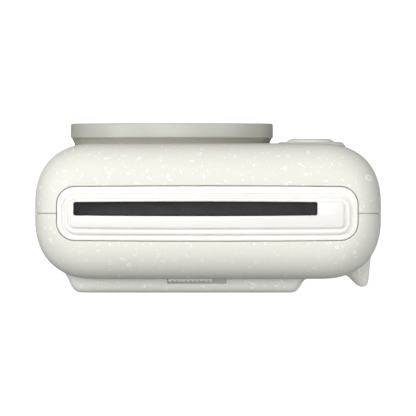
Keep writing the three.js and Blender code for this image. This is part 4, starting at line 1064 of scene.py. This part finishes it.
# ---- Film door and latch ----
def door_plan(inset):
    """The door in plan: a flat back between two S-shaped flanks, drawn in by inset at the back."""
    left, right = DOOR["left"], DOOR["right"]
    front, back = DOOR["front"], DOOR["back"] - inset
    side = inset * 0.8
    left_flank = bezier([
        (left, BODY_BACK), (left + 2.4 * MM + side, BODY_BACK + 0.5 * MM),
        (left + 2.1 * MM + side, back), (left + 5.6 * MM + side, back),
    ], 14)
    right_flank = bezier([
        (right - 6.2 * MM - side, back), (right - 1.9 * MM - side, back),
        (right - 2.3 * MM - side, BODY_BACK - 0.2 * MM), (right, front + 1.7 * MM),
    ], 14)
    span = 24
    start, end = left_flank[-1][0], right_flank[0][0]
    flat = [(start + (end - start) * i / span, back) for i in range(1, span)]
    return ([(left, front)] + left_flank + flat + right_flank + [(right, front)])[::-1]


def window_cutter(window, grow, radius, front):
    outline = rounded_rect(
        window["left"] - grow, window["right"] + grow, window["bottom"] - grow, window["top"] + grow,
        radius, side_steps=1,
    )
    return prism("cutter", outline, "y", front, FAR)


def build_door():
    """A shell with rounded upper and lower edges, hollow towards the film, on two hinge knuckles."""
    low, high = DOOR_LOW, DOOR["top"]
    edge_in, edge_down = 2.6 * MM, 3.0 * MM
    edge_steps = 10
    lower, upper = [], []
    for step in range(edge_steps + 1):
        angle = math.pi / 2 * step / edge_steps
        plan = door_plan(edge_in * (1 - math.sin(angle)))
        rise = edge_down * (1 - math.cos(angle))
        lower.append(at_height(plan, low + rise))
        upper.append(at_height(plan, high - rise))
    levels = 12
    tall = high - low - 2 * edge_down
    middle = [
        at_height(door_plan(0), low + edge_down + tall * level / levels) for level in range(1, levels)
    ]
    door = loft("back_door", lower + middle + upper[::-1])

    wall = 1.8 * MM
    side_wall = 3.2 * MM
    top_wall = 4.4 * MM
    hollow = block(
        "cutter", DOOR["left"] + side_wall, DOOR["right"] - side_wall,
        DOOR["front"] - MM, DOOR["back"] - wall, low + wall, high - top_wall,
    )
    pocket = block(
        "cutter", LATCH["left"] - LATCH_TRAVEL - GAP, LATCH["right"] + GAP,
        LATCH["front"] - GAP, LATCH["back"] + 0.5 * MM, LATCH["bottom"] - GAP, FAR,
    )
    window = extent("pack_window")
    seat = window_cutter(window, GAP, 3 * MM, DOOR["back"] - MM)
    hole = window_cutter(window, -0.7 * MM, 2 * MM, DOOR["front"])
    boolean(door, "DIFFERENCE", hollow, pocket, seat, hole)
    for start, end in KNUCKLES:
        boolean(
            door, "UNION", hinge_rod("knuckle", start, end),
            block("web", start, end, HINGE_Y - MM, HINGE_Y + MM, HINGE_Z, low + 0.5 * MM),
        )
    piece(door, "film_door", "shell", MATERIALS["shell"], "film_door")


def build_latch():
    """The ribbed slider: scallops along its back, and softened top and bottom edges."""
    ribs, steps_per_rib = 10, 8
    rib_depth = 0.55 * MM
    pitch = (LATCH["right"] - LATCH["left"]) / ribs

    def outline(inset):
        left, right = LATCH["left"] + inset, LATCH["right"] - inset
        points = [(left, LATCH["front"] + inset), (right, LATCH["front"] + inset)]
        for index in range(ribs * steps_per_rib + 1):
            along = index / steps_per_rib
            x = min(max(LATCH["right"] - along * pitch, left), right)
            rise = rib_depth * abs(math.sin(math.pi * along)) ** 0.7
            points.append((x, LATCH["back"] - rib_depth + rise - inset))
        return points

    soft = 0.2 * MM
    slider = loft("ribbed_latch", [
        at_height(outline(soft), LATCH["bottom"]), at_height(outline(0), LATCH["bottom"] + soft),
        at_height(outline(0), LATCH["top"] - soft), at_height(outline(soft), LATCH["top"]),
    ])
    piece(slider, "door_latch", "bezel", MATERIALS["bezel"], "door_latch")


# ---- Stage, lights, camera ----
PHOTO_WIDTH = 143.0 * MM  # what the camera's frame spans at FOCUS_HEIGHT
FOCUS_HEIGHT = 0.1
CAMERA_DISTANCE = 6.0  # far enough for a nearly parallel view
SENSOR_WIDTH = 36


def build_stage():
    floor = block("stage_floor", -4, 4, -4, 4, -0.002, 0)
    floor.data.materials.append(stage_white())
    floor.visible_diffuse = False
    floor.visible_glossy = False
    floor.visible_transmission = False


def stage_white():
    material = bpy.data.materials.new("stage_white")
    material.use_nodes = True
    shader = material.node_tree.nodes["Principled BSDF"]
    shader.inputs["Base Color"].default_value = (0.9, 0.9, 0.9, 1)
    shader.inputs["Roughness"].default_value = 0.9
    shader.inputs["Emission Color"].default_value = (1, 1, 1, 1)
    shader.inputs["Emission Strength"].default_value = 0.75
    return material


def area_light(name, place, aim, size, power, color=(1, 1, 1)):
    data = bpy.data.lights.new(name, "AREA")
    data.shape = "RECTANGLE"
    data.size, data.size_y = size
    data.energy = power
    data.color = color
    light = bpy.data.objects.new(name, data)
    bpy.context.scene.collection.objects.link(light)
    light.location = place
    direction = Vector(aim) - Vector(place)
    light.rotation_euler = direction.to_track_quat("-Z", "Y").to_euler()
    light.visible_camera = False


def build_lights():
    aim = (0, 0, FOCUS_HEIGHT)
    area_light("key", (0.6, -0.75, 1.15), aim, (0.7, 0.7), 8.2, (1.0, 0.995, 0.975))
    area_light("top", (0.0, -0.05, 1.6), aim, (1.0, 0.7), 9.6, (1.0, 1.0, 0.99))
    area_light("left", (1.3, -0.1, 0.8), aim, (0.7, 0.7), 6.5)
    area_light("right", (-1.3, -0.1, 0.8), aim, (0.7, 0.7), 6.2)
    area_light("back", (-0.2, 1.5, 0.2), aim, (0.7, 0.4), 2.0)
    world = bpy.data.worlds.new("studio")
    world.use_nodes = True
    background = world.node_tree.nodes["Background"]
    background.inputs["Color"].default_value = (0.97, 0.98, 1.0, 1)
    background.inputs["Strength"].default_value = 0.13
    bpy.context.scene.world = world


def build_camera():
    """Straight down on the top, with the lens side at the picture's upper edge."""
    data = bpy.data.cameras.new("camera")
    data.sensor_width = SENSOR_WIDTH
    data.lens = SENSOR_WIDTH * CAMERA_DISTANCE / PHOTO_WIDTH
    data.clip_start = 0.5
    data.clip_end = 60
    camera = bpy.data.objects.new("camera", data)
    bpy.context.scene.collection.objects.link(camera)
    camera.location = (0, 0.1 * MM, CAMERA_DISTANCE + FOCUS_HEIGHT)
    camera.rotation_euler = (0, 0, math.pi)
    bpy.context.scene.camera = camera


dress_cad_nodes()
build_shell()
build_bezel()
build_exit_flap()
build_ring()
build_collar()
build_barrel()
build_lens_face()
build_button()
build_door()
build_latch()
build_stage()
build_lights()
build_camera()
scene = bpy.context.scene
scene.view_settings.view_transform = "Standard"
scene.view_settings.look = "None"
